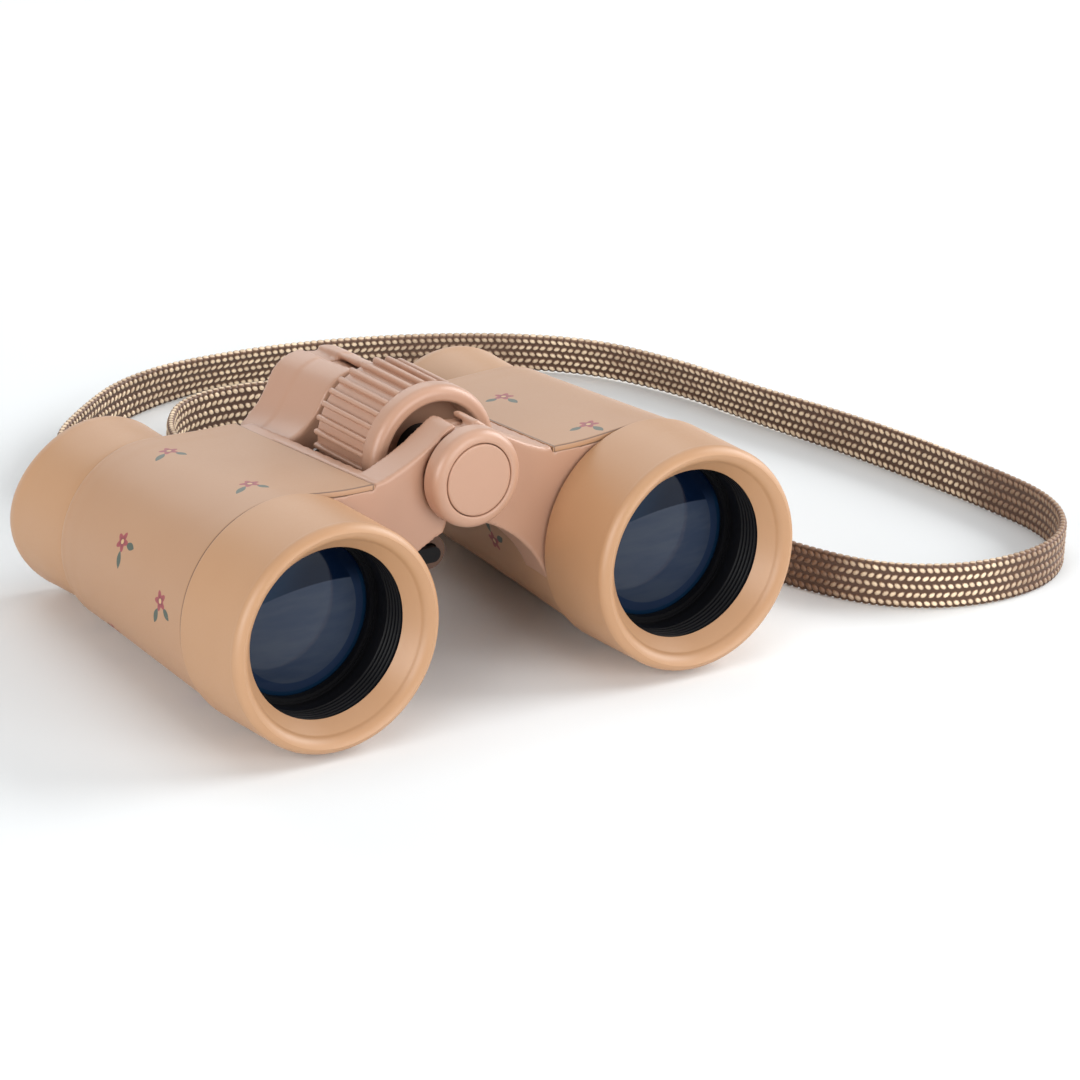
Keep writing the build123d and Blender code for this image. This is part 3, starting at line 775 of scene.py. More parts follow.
def recalculated(mesh: bpy.types.Mesh, merge: float | None = None) -> None:
    """Point a closed mesh's faces outwards.

    Args:
        mesh: the mesh, which is changed.
        merge: how close points are merged first; None merges none.
    """
    bm = bmesh.new()
    bm.from_mesh(mesh)
    if merge is not None:
        bmesh.ops.remove_doubles(bm, verts=bm.verts, dist=merge)
    bmesh.ops.recalc_face_normals(bm, faces=bm.faces)
    bm.to_mesh(mesh)
    bm.free()


def finished(
    name: str, mesh: bpy.types.Mesh, material: bpy.types.Material, body: str, node: str
) -> bpy.types.Object:
    """Make a piece of a mesh in the row frame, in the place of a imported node.

    Args:
        name: the piece's name.
        mesh: its mesh.
        material: its finish.
        body: the moving body that it rides on.
        node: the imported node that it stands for.

    Returns:
        The piece.
    """
    piece = bpy.data.objects.new(name, mesh)
    bpy.context.scene.collection.objects.link(piece)
    mesh.materials.clear()
    mesh.materials.append(material)
    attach(piece, body)
    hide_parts(node)
    log.info("%s: %d faces", name, len(mesh.polygons))
    return piece


def woven(
    name: str,
    points: Iterable[Point3],
    faces: Iterable[Sequence[int]],
    layout: Sequence[Point2] | None = None,
    facing: Point3 | None = None,
) -> bpy.types.Mesh:
    """Make a smooth mesh from bench-frame points.

    Args:
        name: the mesh's name.
        points: its points in bench millimetres.
        faces: its faces.
        layout: a UV place for each point, kept as the map "girth".
        facing: a point that an open surface's normals lead away from.

    Returns:
        The mesh in the row frame.
    """
    mesh = bpy.data.meshes.new(name)
    mesh.from_pydata([tuple(p) for p in points], [], [tuple(f) for f in faces])
    if layout is not None:
        layer = mesh.uv_layers.new(name="girth")
        for loop in mesh.loops:
            layer.data[loop.index].uv = layout[loop.vertex_index]
    if facing is None:
        recalculated(mesh, MERGE_DISTANCE)
    else:
        outwards(mesh, facing)
    mesh.transform(BENCH.matrix)
    mesh.shade_smooth()
    mesh.set_sharp_from_angle(angle=CREASE_ANGLE)
    return mesh


def outwards(mesh: bpy.types.Mesh, axis: Point3) -> None:
    """Turn an open sheet's faces away from the barrel's axis, if most of them lead towards it.

    Args:
        mesh: the sheet, which is changed.
        axis: a point on the axis.
    """
    bm = bmesh.new()
    bm.from_mesh(mesh)
    away = 0.0
    for face in bm.faces:
        spot = face.calc_center_median()
        lead = Vector((spot.x - axis[0], 0.0, spot.z - axis[2]))
        away += face.normal.dot(lead) * face.calc_area()
    if away < 0:
        bmesh.ops.reverse_faces(bm, faces=bm.faces)
    bm.to_mesh(mesh)
    bm.free()


def turned(
    name: str,
    profile: Sequence[Point2],
    across: float,
    rise: float = 0.0,
    segments: int = 144,
    closed: bool = True,
    warp: Callable[[float, float, float], Point3] | None = None,
) -> bpy.types.Mesh:
    """Turn a profile about an axis parallel to the line of sight.

    Args:
        name: the mesh's name.
        profile: points of radius and station; an open profile starts and ends on the axis.
        across: the axis's place across the bench.
        rise: its height.
        segments: how many steps round.
        closed: whether the profile is a closed ring that stays off the axis.
        warp: moves a point, given and returned relative to the axis.

    Returns:
        The mesh in the row frame.
    """
    points: list[Point3] = []
    rings: list[list[int]] = []
    for radius, station in profile:
        if radius < ON_AXIS:
            rings.append([len(points)] * segments)
            points.append((across, station, rise))
            continue
        ring = []
        for step in range(segments):
            angle = math.tau * step / segments
            ring.append(len(points))
            x, y, z = radius * math.cos(angle), station, radius * math.sin(angle)
            if warp is not None:
                x, y, z = warp(x, y, z)
            points.append((across + x, y, rise + z))
        rings.append(ring)
    faces = []
    pairs = list(zip(rings, rings[1:])) + ([(rings[-1], rings[0])] if closed else [])
    for one, two in pairs:
        for step in range(segments):
            after = (step + 1) % segments
            corner = [one[step], one[after], two[after], two[step]]
            face = list(dict.fromkeys(corner))
            if len(face) > 2:
                faces.append(face)
    return woven(name, points, faces)


def dome(radius: float, apex: float, edge: float) -> list[Point2]:
    """Profile of a lens face from the axis to its edge.

    Args:
        radius: the face's radius.
        apex: station of its middle.
        edge: station of its edge.

    Returns:
        Points of radius and station.
    """
    rise = edge - apex
    bend = (radius**2 + rise**2) / (2 * rise)
    out = [radius * index / DOME_STEPS for index in range(DOME_STEPS + 1)]
    return [(r, apex + bend - math.copysign(math.sqrt(bend**2 - r**2), bend)) for r in out]


# ---- finishes of this object -----------------------------------------------------------

RIM_PLASTIC = MouldedPlastic("rim_plastic", (0.492, 0.273, 0.141), (0.462, 0.247, 0.122))
BRIDGE_PLASTIC = MouldedPlastic(
    "bridge_plastic", (0.510, 0.294, 0.198), (0.482, 0.270, 0.180), roughness=0.35
)
LEFT_FLOWERS = (
    (19.7, 15.0, 29.0),
    (18.3, -10.8, 27.0),
    (40.0, 3.5, 50.0),
    (45.6, -13.2, 84.0),
    (61.1, 12.2, 133.0),
    (69.0, -8.0, 310.0),
    (84.0, 14.0, 205.0),
    (90.0, -12.0, 40.0),
    (104.0, 4.0, 160.0),
)
RIGHT_FLOWERS = (
    (9.9, 8.8, -36.0),
    (11.3, -15.0, -35.0),
    (34.0, 14.0, 200.0),
    (37.0, -9.0, 310.0),
    (58.0, 4.0, 60.0),
    (63.0, -15.0, 150.0),
    (81.0, 12.0, 250.0),
    (84.0, -11.0, 20.0),
    (102.2, -2.8, 80.0),
)
SLEEVE_SKIN = PrintedSkin(
    "left_sleeve_skin", (0.460, 0.258, 0.141), (0.435, 0.238, 0.126), flowers=LEFT_FLOWERS
)
EYEPIECE_GLASS = BlackPlastic("eyepiece_glass", (0.010, 0.016, 0.030), roughness=0.05)
CELL_BLACK = BlackPlastic("cell_black")
STEEL = PlainSteel("plain_steel")
BRAID = SatinBraid("satin_braid", (0.215, 0.110, 0.060), (0.095, 0.046, 0.026), (1.0, 0.80, 0.56))


class Finishes:
    """The object's materials, each built once."""

    def __init__(self) -> None:
        """Build them all."""
        self.rim = RIM_PLASTIC.paint()
        self.bridge = BRIDGE_PLASTIC.paint()
        self.sleeves = {
            Side.LEFT: SLEEVE_SKIN.paint(),
            Side.RIGHT: replace(SLEEVE_SKIN, name="right_sleeve_skin", flowers=RIGHT_FLOWERS).paint(),
        }
        self.black = CELL_BLACK.paint()
        # lens glass coloured with painted reflections and painted shade
        self.glasses = {side: CoatedGlass(f"{side.word}_lens_glass", side).paint() for side in Side}
        self.dark_glass = EYEPIECE_GLASS.paint()
        self.steel = STEEL.paint()
        self.braid = BRAID.paint()


# ---- studio ----------------------------------------------------------------------------


@dataclass(frozen=True)
class Lamp:
    """One soft light: its place and size in metres, and its power in watts."""

    name: str
    place: Point3
    size: Point2
    power: float


@dataclass(frozen=True)
class Studio:
    """Floor, light and the camera at the photograph's angle."""

    eye: Point3 = (-0.62402, -0.92274, 0.50491)
    yaw: float = 35.11
    pitch: float = 23.56
    roll: float = 3.42
    focal_length: float = 230.76
    shift: Point2 = (0.0308, -0.0055)
    sensor: float = 36.0
    floor_half: float = 6.0
    floor_tone: Colour = (0.93, 0.96, 0.975)
    floor_shade: Colour = (0.91, 0.94, 0.955)
    middle: Point3 = (0.0, 0.0, 0.02)
    all_round: float = 0.22
    lamps: tuple[Lamp, ...] = (
        Lamp("front", (0.35, -1.5, 0.55), (1.2, 1.0), 12.8),
        Lamp("left", (-1.4, -0.5, 0.5), (1.0, 1.0), 15.0),
        Lamp("right", (1.3, -0.2, 0.7), (1.0, 1.0), 17.8),
        Lamp("back", (0.3, 1.3, 0.9), (1.2, 1.0), 4.8),
        Lamp("top", (0.0, 0.0, 1.5), (1.2, 1.2), 4.4),
    )

    def camera(self) -> None:
        """Set the camera up."""
        yaw, pitch, roll = (math.radians(a) for a in (self.yaw, self.pitch, self.roll))
        level = Vector((math.cos(yaw), -math.sin(yaw), 0.0))
        ahead = Vector((math.sin(yaw), math.cos(yaw), 0.0))
        forward = ahead * math.cos(pitch) - Vector((0.0, 0.0, math.sin(pitch)))
        upright = level.cross(forward)
        right = level * math.cos(roll) + upright * math.sin(roll)
        top = right.cross(forward)
        lens = bpy.data.cameras.new("photo_camera")
        lens.lens = self.focal_length
        lens.sensor_width = self.sensor
        lens.shift_x, lens.shift_y = self.shift
        lens.clip_start, lens.clip_end = 0.05, 20.0
        camera = bpy.data.objects.new("photo_camera", lens)
        turn = Matrix((right, top, -forward)).transposed().to_4x4()
        camera.matrix_world = Matrix.Translation(self.eye) @ turn
        bpy.context.scene.collection.objects.link(camera)
        bpy.context.scene.camera = camera

    def floor(self) -> None:
        """Lay the pale floor, which shows white and keeps the object's shadow."""
        mesh = bpy.data.meshes.new("floor")
        half = self.floor_half
        corners = [(-half, -half, 0), (half, -half, 0), (half, half, 0), (-half, half, 0)]
        mesh.from_pydata(corners, [], [(0, 1, 2, 3)])
        floor = bpy.data.objects.new("floor", mesh)
        bpy.context.scene.collection.objects.link(floor)
        shade = Shade("floor_paper")
        fibre = shade.noise(shade.place(), 3.0, 3.0)
        shade.set(Base_Color=shade.blend(fibre * 0.2, self.floor_tone, self.floor_shade), Roughness=0.9)
        mesh.materials.append(shade.material)

    def softbox(self, lamp: Lamp) -> None:
        """Hang one soft light and point it at the object.

        Args:
            lamp: the light.
        """
        light = bpy.data.lights.new(lamp.name, "AREA")
        light.shape = "RECTANGLE"
        light.size, light.size_y = lamp.size
        light.energy = lamp.power
        holder = bpy.data.objects.new(lamp.name, light)
        holder.location = lamp.place
        way = Vector(self.middle) - Vector(lamp.place)
        holder.rotation_euler = way.to_track_quat("-Z", "Y").to_euler()
        bpy.context.scene.collection.objects.link(holder)

    def world(self) -> None:
        """Make the backdrop white to the camera, and light the object softly from all round."""
        world = bpy.data.worlds.new("studio")
        bpy.context.scene.world = world
        world.use_nodes = True
        tree = world.node_tree
        ground = tree.nodes["Background"]
        ground.inputs["Color"].default_value = (1.0, 1.0, 1.0, 1.0)
        path = tree.nodes.new("ShaderNodeLightPath")
        seen = path.outputs["Is Camera Ray"]
        for ray in ("Is Glossy Ray", "Is Transmission Ray"):
            either = tree.nodes.new("ShaderNodeMath")
            either.operation = "MAXIMUM"
            tree.links.new(seen, either.inputs[0])
            tree.links.new(path.outputs[ray], either.inputs[1])
            seen = either.outputs[0]
        strength = tree.nodes.new("ShaderNodeMapRange")
        strength.inputs["To Min"].default_value = self.all_round
        strength.inputs["To Max"].default_value = 1.0
        tree.links.new(seen, strength.inputs["Value"])
        tree.links.new(strength.outputs["Result"], ground.inputs["Strength"])

    def build(self) -> None:
        """Set the whole studio up."""
        bpy.context.scene.view_settings.view_transform = "Standard"
        self.camera()
        self.floor()
        self.world()
        for lamp in self.lamps:
            self.softbox(lamp)
        log.info("studio ready")


# ---- repeated parts --------------------------------------------------------------------


class Graph:
    """One geometry node group and the methods that fill and bake it."""

    def __init__(self, name: str) -> None:
        """Start a group with one geometry output.

        Args:
            name: the group's name.
        """
        self.tree = bpy.data.node_groups.new(name, "GeometryNodeTree")
        self.tree.interface.new_socket("Geometry", in_out="OUTPUT", socket_type="NodeSocketGeometry")
        self.inlet = self.tree.nodes.new("NodeGroupInput")
        self.outlet = self.tree.nodes.new("NodeGroupOutput")
        self.identifiers: dict[str, str] = {}

    def input(self, name: str, kind: str) -> bpy.types.NodeSocket:
        """Add a named input.

        Args:
            name: its name.
            kind: its socket type.

        Returns:
            The socket that carries it inside the group.
        """
        socket = self.tree.interface.new_socket(name, in_out="INPUT", socket_type=kind)
        self.identifiers[name] = socket.identifier
        return self.inlet.outputs[name]

    def add(
        self, kind: str, settings: dict[str, object], links: dict[str | int, object]
    ) -> bpy.types.Node:
        """Add a node.

        Args:
            kind: its type.
            settings: its properties.
            links: a socket or a constant for each input that isn't left as it is.

        Returns:
            The node.
        """
        node = self.tree.nodes.new(kind)
        for key, value in settings.items():
            setattr(node, key, value)
        for key, value in links.items():
            socket = node.inputs[key]
            if isinstance(value, bpy.types.NodeSocket):
                self.tree.links.new(value, socket)
            else:
                socket.default_value = value
        return node

    def bake(self, name: str, source: bpy.types.Mesh, values: dict[str, object]) -> bpy.types.Mesh:
        """Run the group on a mesh.

        Args:
            name: the new mesh's name.
            source: the mesh that it starts from.
            values: the group's inputs by name.

        Returns:
            The baked mesh.
        """
        holder = bpy.data.objects.new(name, source)
        modifier = holder.modifiers.new(name, "NODES")
        modifier.node_group = self.tree
        for key, value in values.items():
            modifier[self.identifiers[key]] = value
        mesh = plain_mesh(holder)
        mesh.name = name
        return mesh

    def close(self, instances: bpy.types.Node, material: bpy.types.NodeSocket) -> None:
        """Make the instances real, give them their material and send them out.

        Args:
            instances: the node that places the instances.
            material: the input that carries the material.
        """
        real = self.add("GeometryNodeRealizeInstances", {}, {"Geometry": instances.outputs[0]})
        parts = {"Geometry": real.outputs[0], "Material": material}
        painted = self.add("GeometryNodeSetMaterial", {}, parts)
        self.tree.links.new(painted.outputs[0], self.outlet.inputs[0])


def rib_ring() -> Graph:
    """Build the group that repeats a rib round the line of sight.

    Returns:
        The group.
    """
    graph = Graph("rib_ring")
    rib = graph.input("Rib", "NodeSocketGeometry")
    count = graph.input("Count", "NodeSocketInt")
    material = graph.input("Material", "NodeSocketMaterial")
    points = graph.add("GeometryNodeMeshLine", {}, {"Count": count, "Offset": (0.0, 0.0, 0.0)})
    index = graph.add("GeometryNodeInputIndex", {}, {})
    share = graph.add("ShaderNodeMath", {"operation": "DIVIDE"}, {0: index.outputs[0], 1: count})
    angle = graph.add("ShaderNodeMath", {"operation": "MULTIPLY"}, {0: share.outputs[0], 1: math.tau})
    turn = graph.add("ShaderNodeCombineXYZ", {}, {"Y": angle.outputs[0]})
    parts = {"Points": points.outputs[0], "Instance": rib, "Rotation": turn.outputs[0]}
    graph.close(graph.add("GeometryNodeInstanceOnPoints", {}, parts), material)
    return graph


def yarn_floats() -> Graph:
    """Build the group that lays a yarn float on every point, in the point's own turn and size.

    Returns:
        The group.
    """
    graph = Graph("yarn_floats")
    points = graph.input("Places", "NodeSocketGeometry")
    template = graph.input("Float", "NodeSocketObject")
    size = graph.input("Size", "NodeSocketFloat")
    material = graph.input("Material", "NodeSocketMaterial")
    vector = {"data_type": "FLOAT_VECTOR"}
    turn = graph.add("GeometryNodeInputNamedAttribute", vector, {"Name": "turn"})
    shape = graph.add("GeometryNodeInputNamedAttribute", vector, {"Name": "shape"})
    sizes = {"Vector": shape.outputs["Attribute"], "Scale": size}
    scale = graph.add("ShaderNodeVectorMath", {"operation": "SCALE"}, sizes)
    piece = graph.add("GeometryNodeObjectInfo", {}, {"Object": template})
    parts = {
        "Points": points,
        "Instance": piece.outputs["Geometry"],
        "Rotation": turn.outputs["Attribute"],
        "Scale": scale.outputs[0],
    }
    graph.close(graph.add("GeometryNodeInstanceOnPoints", {}, parts), material)
    return graph


# ---- barrels ---------------------------------------------------------------------------


def through(start: Point2, middle: Point2, end: Point2, steps: int) -> list[Point2]:
    """Points of the arc through three points.

    Args:
        start: its first point.
        middle: a point on it.
        end: its last point.
        steps: how many segments.

    Returns:
        The points, both ends among them.
    """
    a, b, c = Vector(start), Vector(middle), Vector(end)
    doubled = 2 * (a.x * (b.y - c.y) + b.x * (c.y - a.y) + c.x * (a.y - b.y))
    x = (a.dot(a) * (b.y - c.y) + b.dot(b) * (c.y - a.y) + c.dot(c) * (a.y - b.y)) / doubled
    y = (a.dot(a) * (c.x - b.x) + b.dot(b) * (a.x - c.x) + c.dot(c) * (b.x - a.x)) / doubled
    first, halfway, last = (math.atan2(p.y - y, p.x - x) for p in (a, b, c))
    sweep = (last - first) % math.tau
    if (halfway - first) % math.tau >= sweep:
        sweep -= math.tau
    radius = (a - Vector((x, y))).length
    angles = [first + sweep * i / steps for i in range(steps + 1)]
    return [(x + radius * math.cos(t), y + radius * math.sin(t)) for t in angles]


@dataclass
class ObjectiveEnd:
    """The flared ring, the threaded cell, the lens and its retaining ring of one barrel."""

    side: Side
    finishes: Finishes
    ring_radius: float = 20.6
    neck_radius: float = 17.9
    seam: float = -21.5
    lip: float = -39.85
    mouth: float = -35.4
    mouth_radius: float = 15.3
    thread_pitch: float = 0.95
    thread_count: int = 5
    seat_front: float = -27.3
    seat_radius: float = 14.9
    lens_radius: float = 14.8
    lens_back: float = -23.0
    groove: tuple[Point2, ...] = (
        (-0.06, 0.0),
        (0.0, 0.03),
        (0.2, 0.32),
        (0.3, 0.32),
        (0.5, 0.03),
        (0.56, 0.0),
    )

    def turn(
        self, word: str, profile: Sequence[Point2], material: bpy.types.Material, closed: bool = True
    ) -> None:
        """Turn one piece about the barrel's axis and let it stand in for its node.

        Args:
            word: the node's name after the side.
            profile: radius and station points.
            material: its finish.
            closed: whether the profile stays off the axis.
        """
        node = f"{self.side.word}_{word}"
        mesh = turned(f"{node}_skin", profile, self.side.value * HALF_SPACING, closed=closed)
        finished(f"{node}_skin", mesh, material, self.side.body, node)

    def ring(self) -> None:
        """Turn the fat front ring with its rounded lip and funnel."""
        outer, seam, mouth = self.ring_radius, self.seam, self.mouth + 0.02
        profile = [(self.neck_radius, seam), (outer - 0.7, seam)]
        profile += through((outer - 0.5, seam), (outer - 0.15, seam - 0.15), (outer, seam - 0.5), 5)
        profile += [(outer - 0.1 * step / 5, seam - 0.7 - 15.2 * step / 5) for step in range(6)]
        profile += through((20.5, -37.6), (20.15, -39.15), (19.2, self.lip), 12)
        profile += through((19.2, self.lip), (18.2, -39.3), (17.35, -38.05), 10)[1:]
        profile += [(17.2, -37.86), (16.3, -36.69), (15.5, -35.66), (self.mouth_radius, self.mouth)]
        profile += [(self.mouth_radius + 0.2, mouth), (self.neck_radius, mouth)]
        self.turn("objective_ring", profile, self.finishes.rim)

    def cell(self) -> None:
        """Turn the black cell with the fine grooves behind its mouth."""
        bore, front = self.mouth_radius, self.mouth + 0.05
        profile = [(bore, front)]
        for index in range(self.thread_count):
            root = self.mouth + 0.6 + index * self.thread_pitch
            profile += [(bore + deep, root + run) for run, deep in self.groove]
        profile += [
            (bore, self.seat_front),
            (self.seat_radius, self.seat_front),
            (self.seat_radius, self.lens_back),
            (14.0, self.lens_back),
            (14.0, -20.5),
            (16.2, -20.5),
            (16.2, -30.6),
            (self.neck_radius, -30.6),
            (self.neck_radius, front),
        ]
        self.turn("lens_cell", profile, self.finishes.black)

    def lens(self) -> None:
        """Turn the lens and its retaining ring."""
        edge, seat, flat = self.lens_radius, self.seat_radius, self.lens_back
        front, back = dome(edge, -27.0, -25.3), dome(13.9, -21.95, flat)
        profile = front + [(edge, -25.0), (edge, flat - 0.2), (edge, flat), (14.0, flat)] + back[::-1]
        self.turn("objective_lens", profile, self.finishes.glasses[self.side], closed=False)
        retainer = [(14.25, -27.1), (seat, -27.1), (seat, -25.4), (14.2, -25.75), (14.2, -27.0)]
        self.turn("lens_retainer", retainer, self.finishes.black)

    def build(self) -> None:
        """Make every piece."""
        self.ring()
        self.cell()
        self.lens()


@dataclass
class Eyecup:
    """The smooth eyecup, which reaches further back on its outer, lower side."""

    side: Side
    finishes: Finishes
    reach: float = 3.4
    azimuth: float = -25.0
    radius: float = 16.2
    bend_start: float = 31.0
    bend_length: float = 10.3

    def winged(self, x: float, y: float, z: float) -> Point3:
        """Push the rear of the cup back on its outer side.

        Args:
            x: distance across from the barrel's axis.
            y: station.
            z: height over the axis.

        Returns:
            The moved point, relative to the axis.
        """
        lean = math.radians(self.azimuth)
        share = (x * self.side.value * math.cos(lean) + z * math.sin(lean)) / self.radius
        late = min(max((y - self.bend_start) / self.bend_length, 0.0), 1.0)
        return x, y + self.reach * max(share, 0.0) ** 2 * late, z

    def build(self) -> None:
        """Turn the cup and push its end back."""
        profile = [(12.6, 25.5), (15.5, 25.5)]
        profile += through((15.55, 25.5), (15.7, 25.57), (15.78, 25.75), 3)
        profile += [(15.85, 27.5), (15.95, 30.5), (16.03, 33.0), (16.1, 35.5), (16.15, 37.0)]
        profile += through((16.2, 38.6), (15.75, 41.1), (14.5, 42.3), 12)
        profile += through((14.5, 42.3), (13.75, 42.1), (13.3, 41.4), 8)[1:]
        profile += [(13.2, 41.1), (12.4, 39.0), (11.7, 37.2), (11.0, 35.4), (10.95, 35.1)]
        profile += [(10.6, 33.2), (12.6, 33.2)]
        node = f"{self.side.word}_eyecup"
        mesh = turned(f"{node}_skin", profile, self.side.value * HALF_SPACING, warp=self.winged)
        finished(f"{node}_skin", mesh, self.finishes.rim, self.side.body, node)


@dataclass
class Housing:
    """The barrel's teardrop outline, and the printed sleeve that wraps it."""

    side: Side
    finishes: Finishes
    front: float = -21.1
    rear: float = 22.5
    groove: float = 25.1
    front_radius: float = 20.05
    rear_radius: float = 17.05
    groove_radius: float = 15.75
    front_shelf: float = 18.9
    rear_shelf: float = 16.6
    elbow: float = 24.8
    panel_edge: float = 18.4
    foot: Point2 = (15.8, 11.0)
    depth: float = 1.0
    around: int = 150
    along: int = 40
    arc_steps: int = 160
    easing: float = 3.2
    easing_steps: int = 10
    lip: tuple[Point2, ...] = ((0.0, 1.0), (0.0, 0.3), (0.0008, 0.1), (0.003, 0.0))
    proud: float = 0.05
    proud_from: float = 19.0

    def section(self, radius: float, shelf: float) -> list[Vector]:
        """Outline of the sleeve at one end, from the panel edge round to the pocket's foot.

        Args:
            radius: the barrel's radius there.
            shelf: the height of the flat top there.

        Returns:
            Points across and up, the elbow eased.
        """
        half = HALF_SPACING
        elbow, foot = Vector((self.elbow, shelf)), Vector(self.foot)
        bearings = []
        for point, turn in ((elbow, -1), (foot, 1)):
            run = math.hypot(point.x - half, point.y)
            bearings.append(math.atan2(point.y, point.x - half) + turn * math.acos(radius / run))
        start, end = bearings
        if end > start:
            end -= math.tau
        turns = [start + (end - start) * i / self.arc_steps for i in range(self.arc_steps + 1)]
        circle = [Vector((half + radius * math.cos(t), radius * math.sin(t))) for t in turns]
        ease_in = elbow - Vector((self.easing, 0))
        ease_out = elbow + (circle[0] - elbow).normalized() * self.easing
        shares = [i / self.easing_steps for i in range(self.easing_steps + 1)]
        eased = [ease_in * (1 - t) ** 2 + elbow * 2 * t * (1 - t) + ease_out * t**2 for t in shares]
        share = (self.panel_edge - circle[-1].x) / (foot.x - circle[-1].x)
        last = circle[-1].lerp(foot, min(max(share, 0.0), 1.0))
        return [Vector((self.panel_edge, shelf))] + eased + circle + [last]

    def even(self, points: list[Vector], shares: Sequence[float]) -> list[Vector]:
        """Pick points of a line by their share of its length.

        Args:
            points: the line.
            shares: where along it, from 0 to 1.

        Returns:
            The picked points.
        """
        runs = [0.0]
        for one, two in zip(points, points[1:]):
            runs.append(runs[-1] + (two - one).length)
        picked, index = [], 0
        for share in shares:
            goal = share * runs[-1]
            while index < len(points) - 2 and runs[index + 1] < goal:
                index += 1
            span = runs[index + 1] - runs[index]
            part = (goal - runs[index]) / span if span else 0.0
            picked.append(points[index].lerp(points[index + 1], part))
        return picked

    def stations(self) -> list[tuple[float, float]]:
        """Divide the sleeve along its length.

        Returns:
            The stations, each with how far the surface has dropped there.
        """
        front, rear, groove = self.front, self.rear, self.groove
        rows = [(front, self.depth), (front, 0.3), (front + 0.1, 0.1), (front + 0.35, 0.0)]
        length = rear - front - 1.4
        rows += [(front + 0.8 + length * i / self.along, 0.0) for i in range(self.along + 1)]
        curl = through((self.rear_radius, rear), (16.75, 24.2), (self.groove_radius, groove), 12)
        rows += [(station, self.rear_radius - radius) for radius, station in curl]
        rows.append((groove, self.rear_radius - self.groove_radius + 0.6))
        return rows

    def build(self) -> None:
        """Wrap the printed sleeve, with eased edges and a UV map in metres."""
        shares = [0.005 + 0.99 * i / self.around for i in range(self.around + 1)]
        lip = [(1 - share, drop) for share, drop in reversed(self.lip)]
        columns = [*self.lip, *((share, 0.0) for share in shares), *lip]
        places = [share for share, _ in columns]
        ends = [
            self.even(self.section(self.front_radius, self.front_shelf), places),
            self.even(self.section(self.rear_radius, self.rear_shelf), places),
        ]
        girth = sum(sum((b - a).length for a, b in zip(end, end[1:])) for end in ends) / 2
        rows = self.stations()
        points: list[Point3] = []
        layout: list[Point2] = []
        for station, row_drop in rows:
            blend = min((station - self.front) / (self.rear - self.front), 1.0)
            ring = [a.lerp(b, blend) for a, b in zip(*ends)]
            proud = self.proud if station > self.proud_from else 0.0
            for index, (point, (share, drop)) in enumerate(zip(ring, columns)):
                before, after = ring[max(index - 2, 0)], ring[min(index + 2, len(ring) - 1)]
                run = (after - before).normalized()
                place = point + Vector((run.y, -run.x)) * (max(drop, row_drop) - proud)
                points.append((self.side.value * place.x, station, place.y))
                layout.append((share * girth * MM, station * MM))
        wide = len(columns)
        corners = [row * wide + column for row in range(len(rows) - 1) for column in range(wide - 1)]
        faces = [(one, one + 1, one + wide + 1, one + wide) for one in corners]
        name = f"{self.side.word}_print_sleeve"
        axis = (self.side.value * HALF_SPACING, 0.0, 0.0)
        mesh = woven(f"{name}_skin", points, faces, layout=layout, facing=axis)
        finished(f"{name}_skin", mesh, self.finishes.sleeves[self.side], self.side.body, name)


@dataclass
class Chassis:
    """A housing's moulded shell and its bridge arms, with their edges softened."""

    side: Side
    finishes: Finishes
    grain: float = 0.42
    softening: int = 3
    weld: float = 1e-7

    def build(self) -> None:
        """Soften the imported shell's edges."""
        name = f"{self.side.word}_chassis"
        mesh = frame["nodes"][name].data.copy()
        bm = bmesh.new()
        bm.from_mesh(mesh)
        bmesh.ops.remove_doubles(bm, verts=bm.verts, dist=self.weld)
        bm.to_mesh(mesh)
        bm.free()
        holder = bpy.data.objects.new(name, mesh)
        remesh = holder.modifiers.new("grain", "REMESH")
        remesh.mode = "VOXEL"
        remesh.voxel_size = self.grain * MM
        smooth = holder.modifiers.new("softening", "SMOOTH")
        smooth.factor = 0.5
        smooth.iterations = self.softening
        soft = plain_mesh(holder)
        soft.shade_smooth()
        finished(f"{name}_shell", soft, self.finishes.bridge, self.side.body, name)


# ---- hinge and wheel -------------------------------------------------------------------


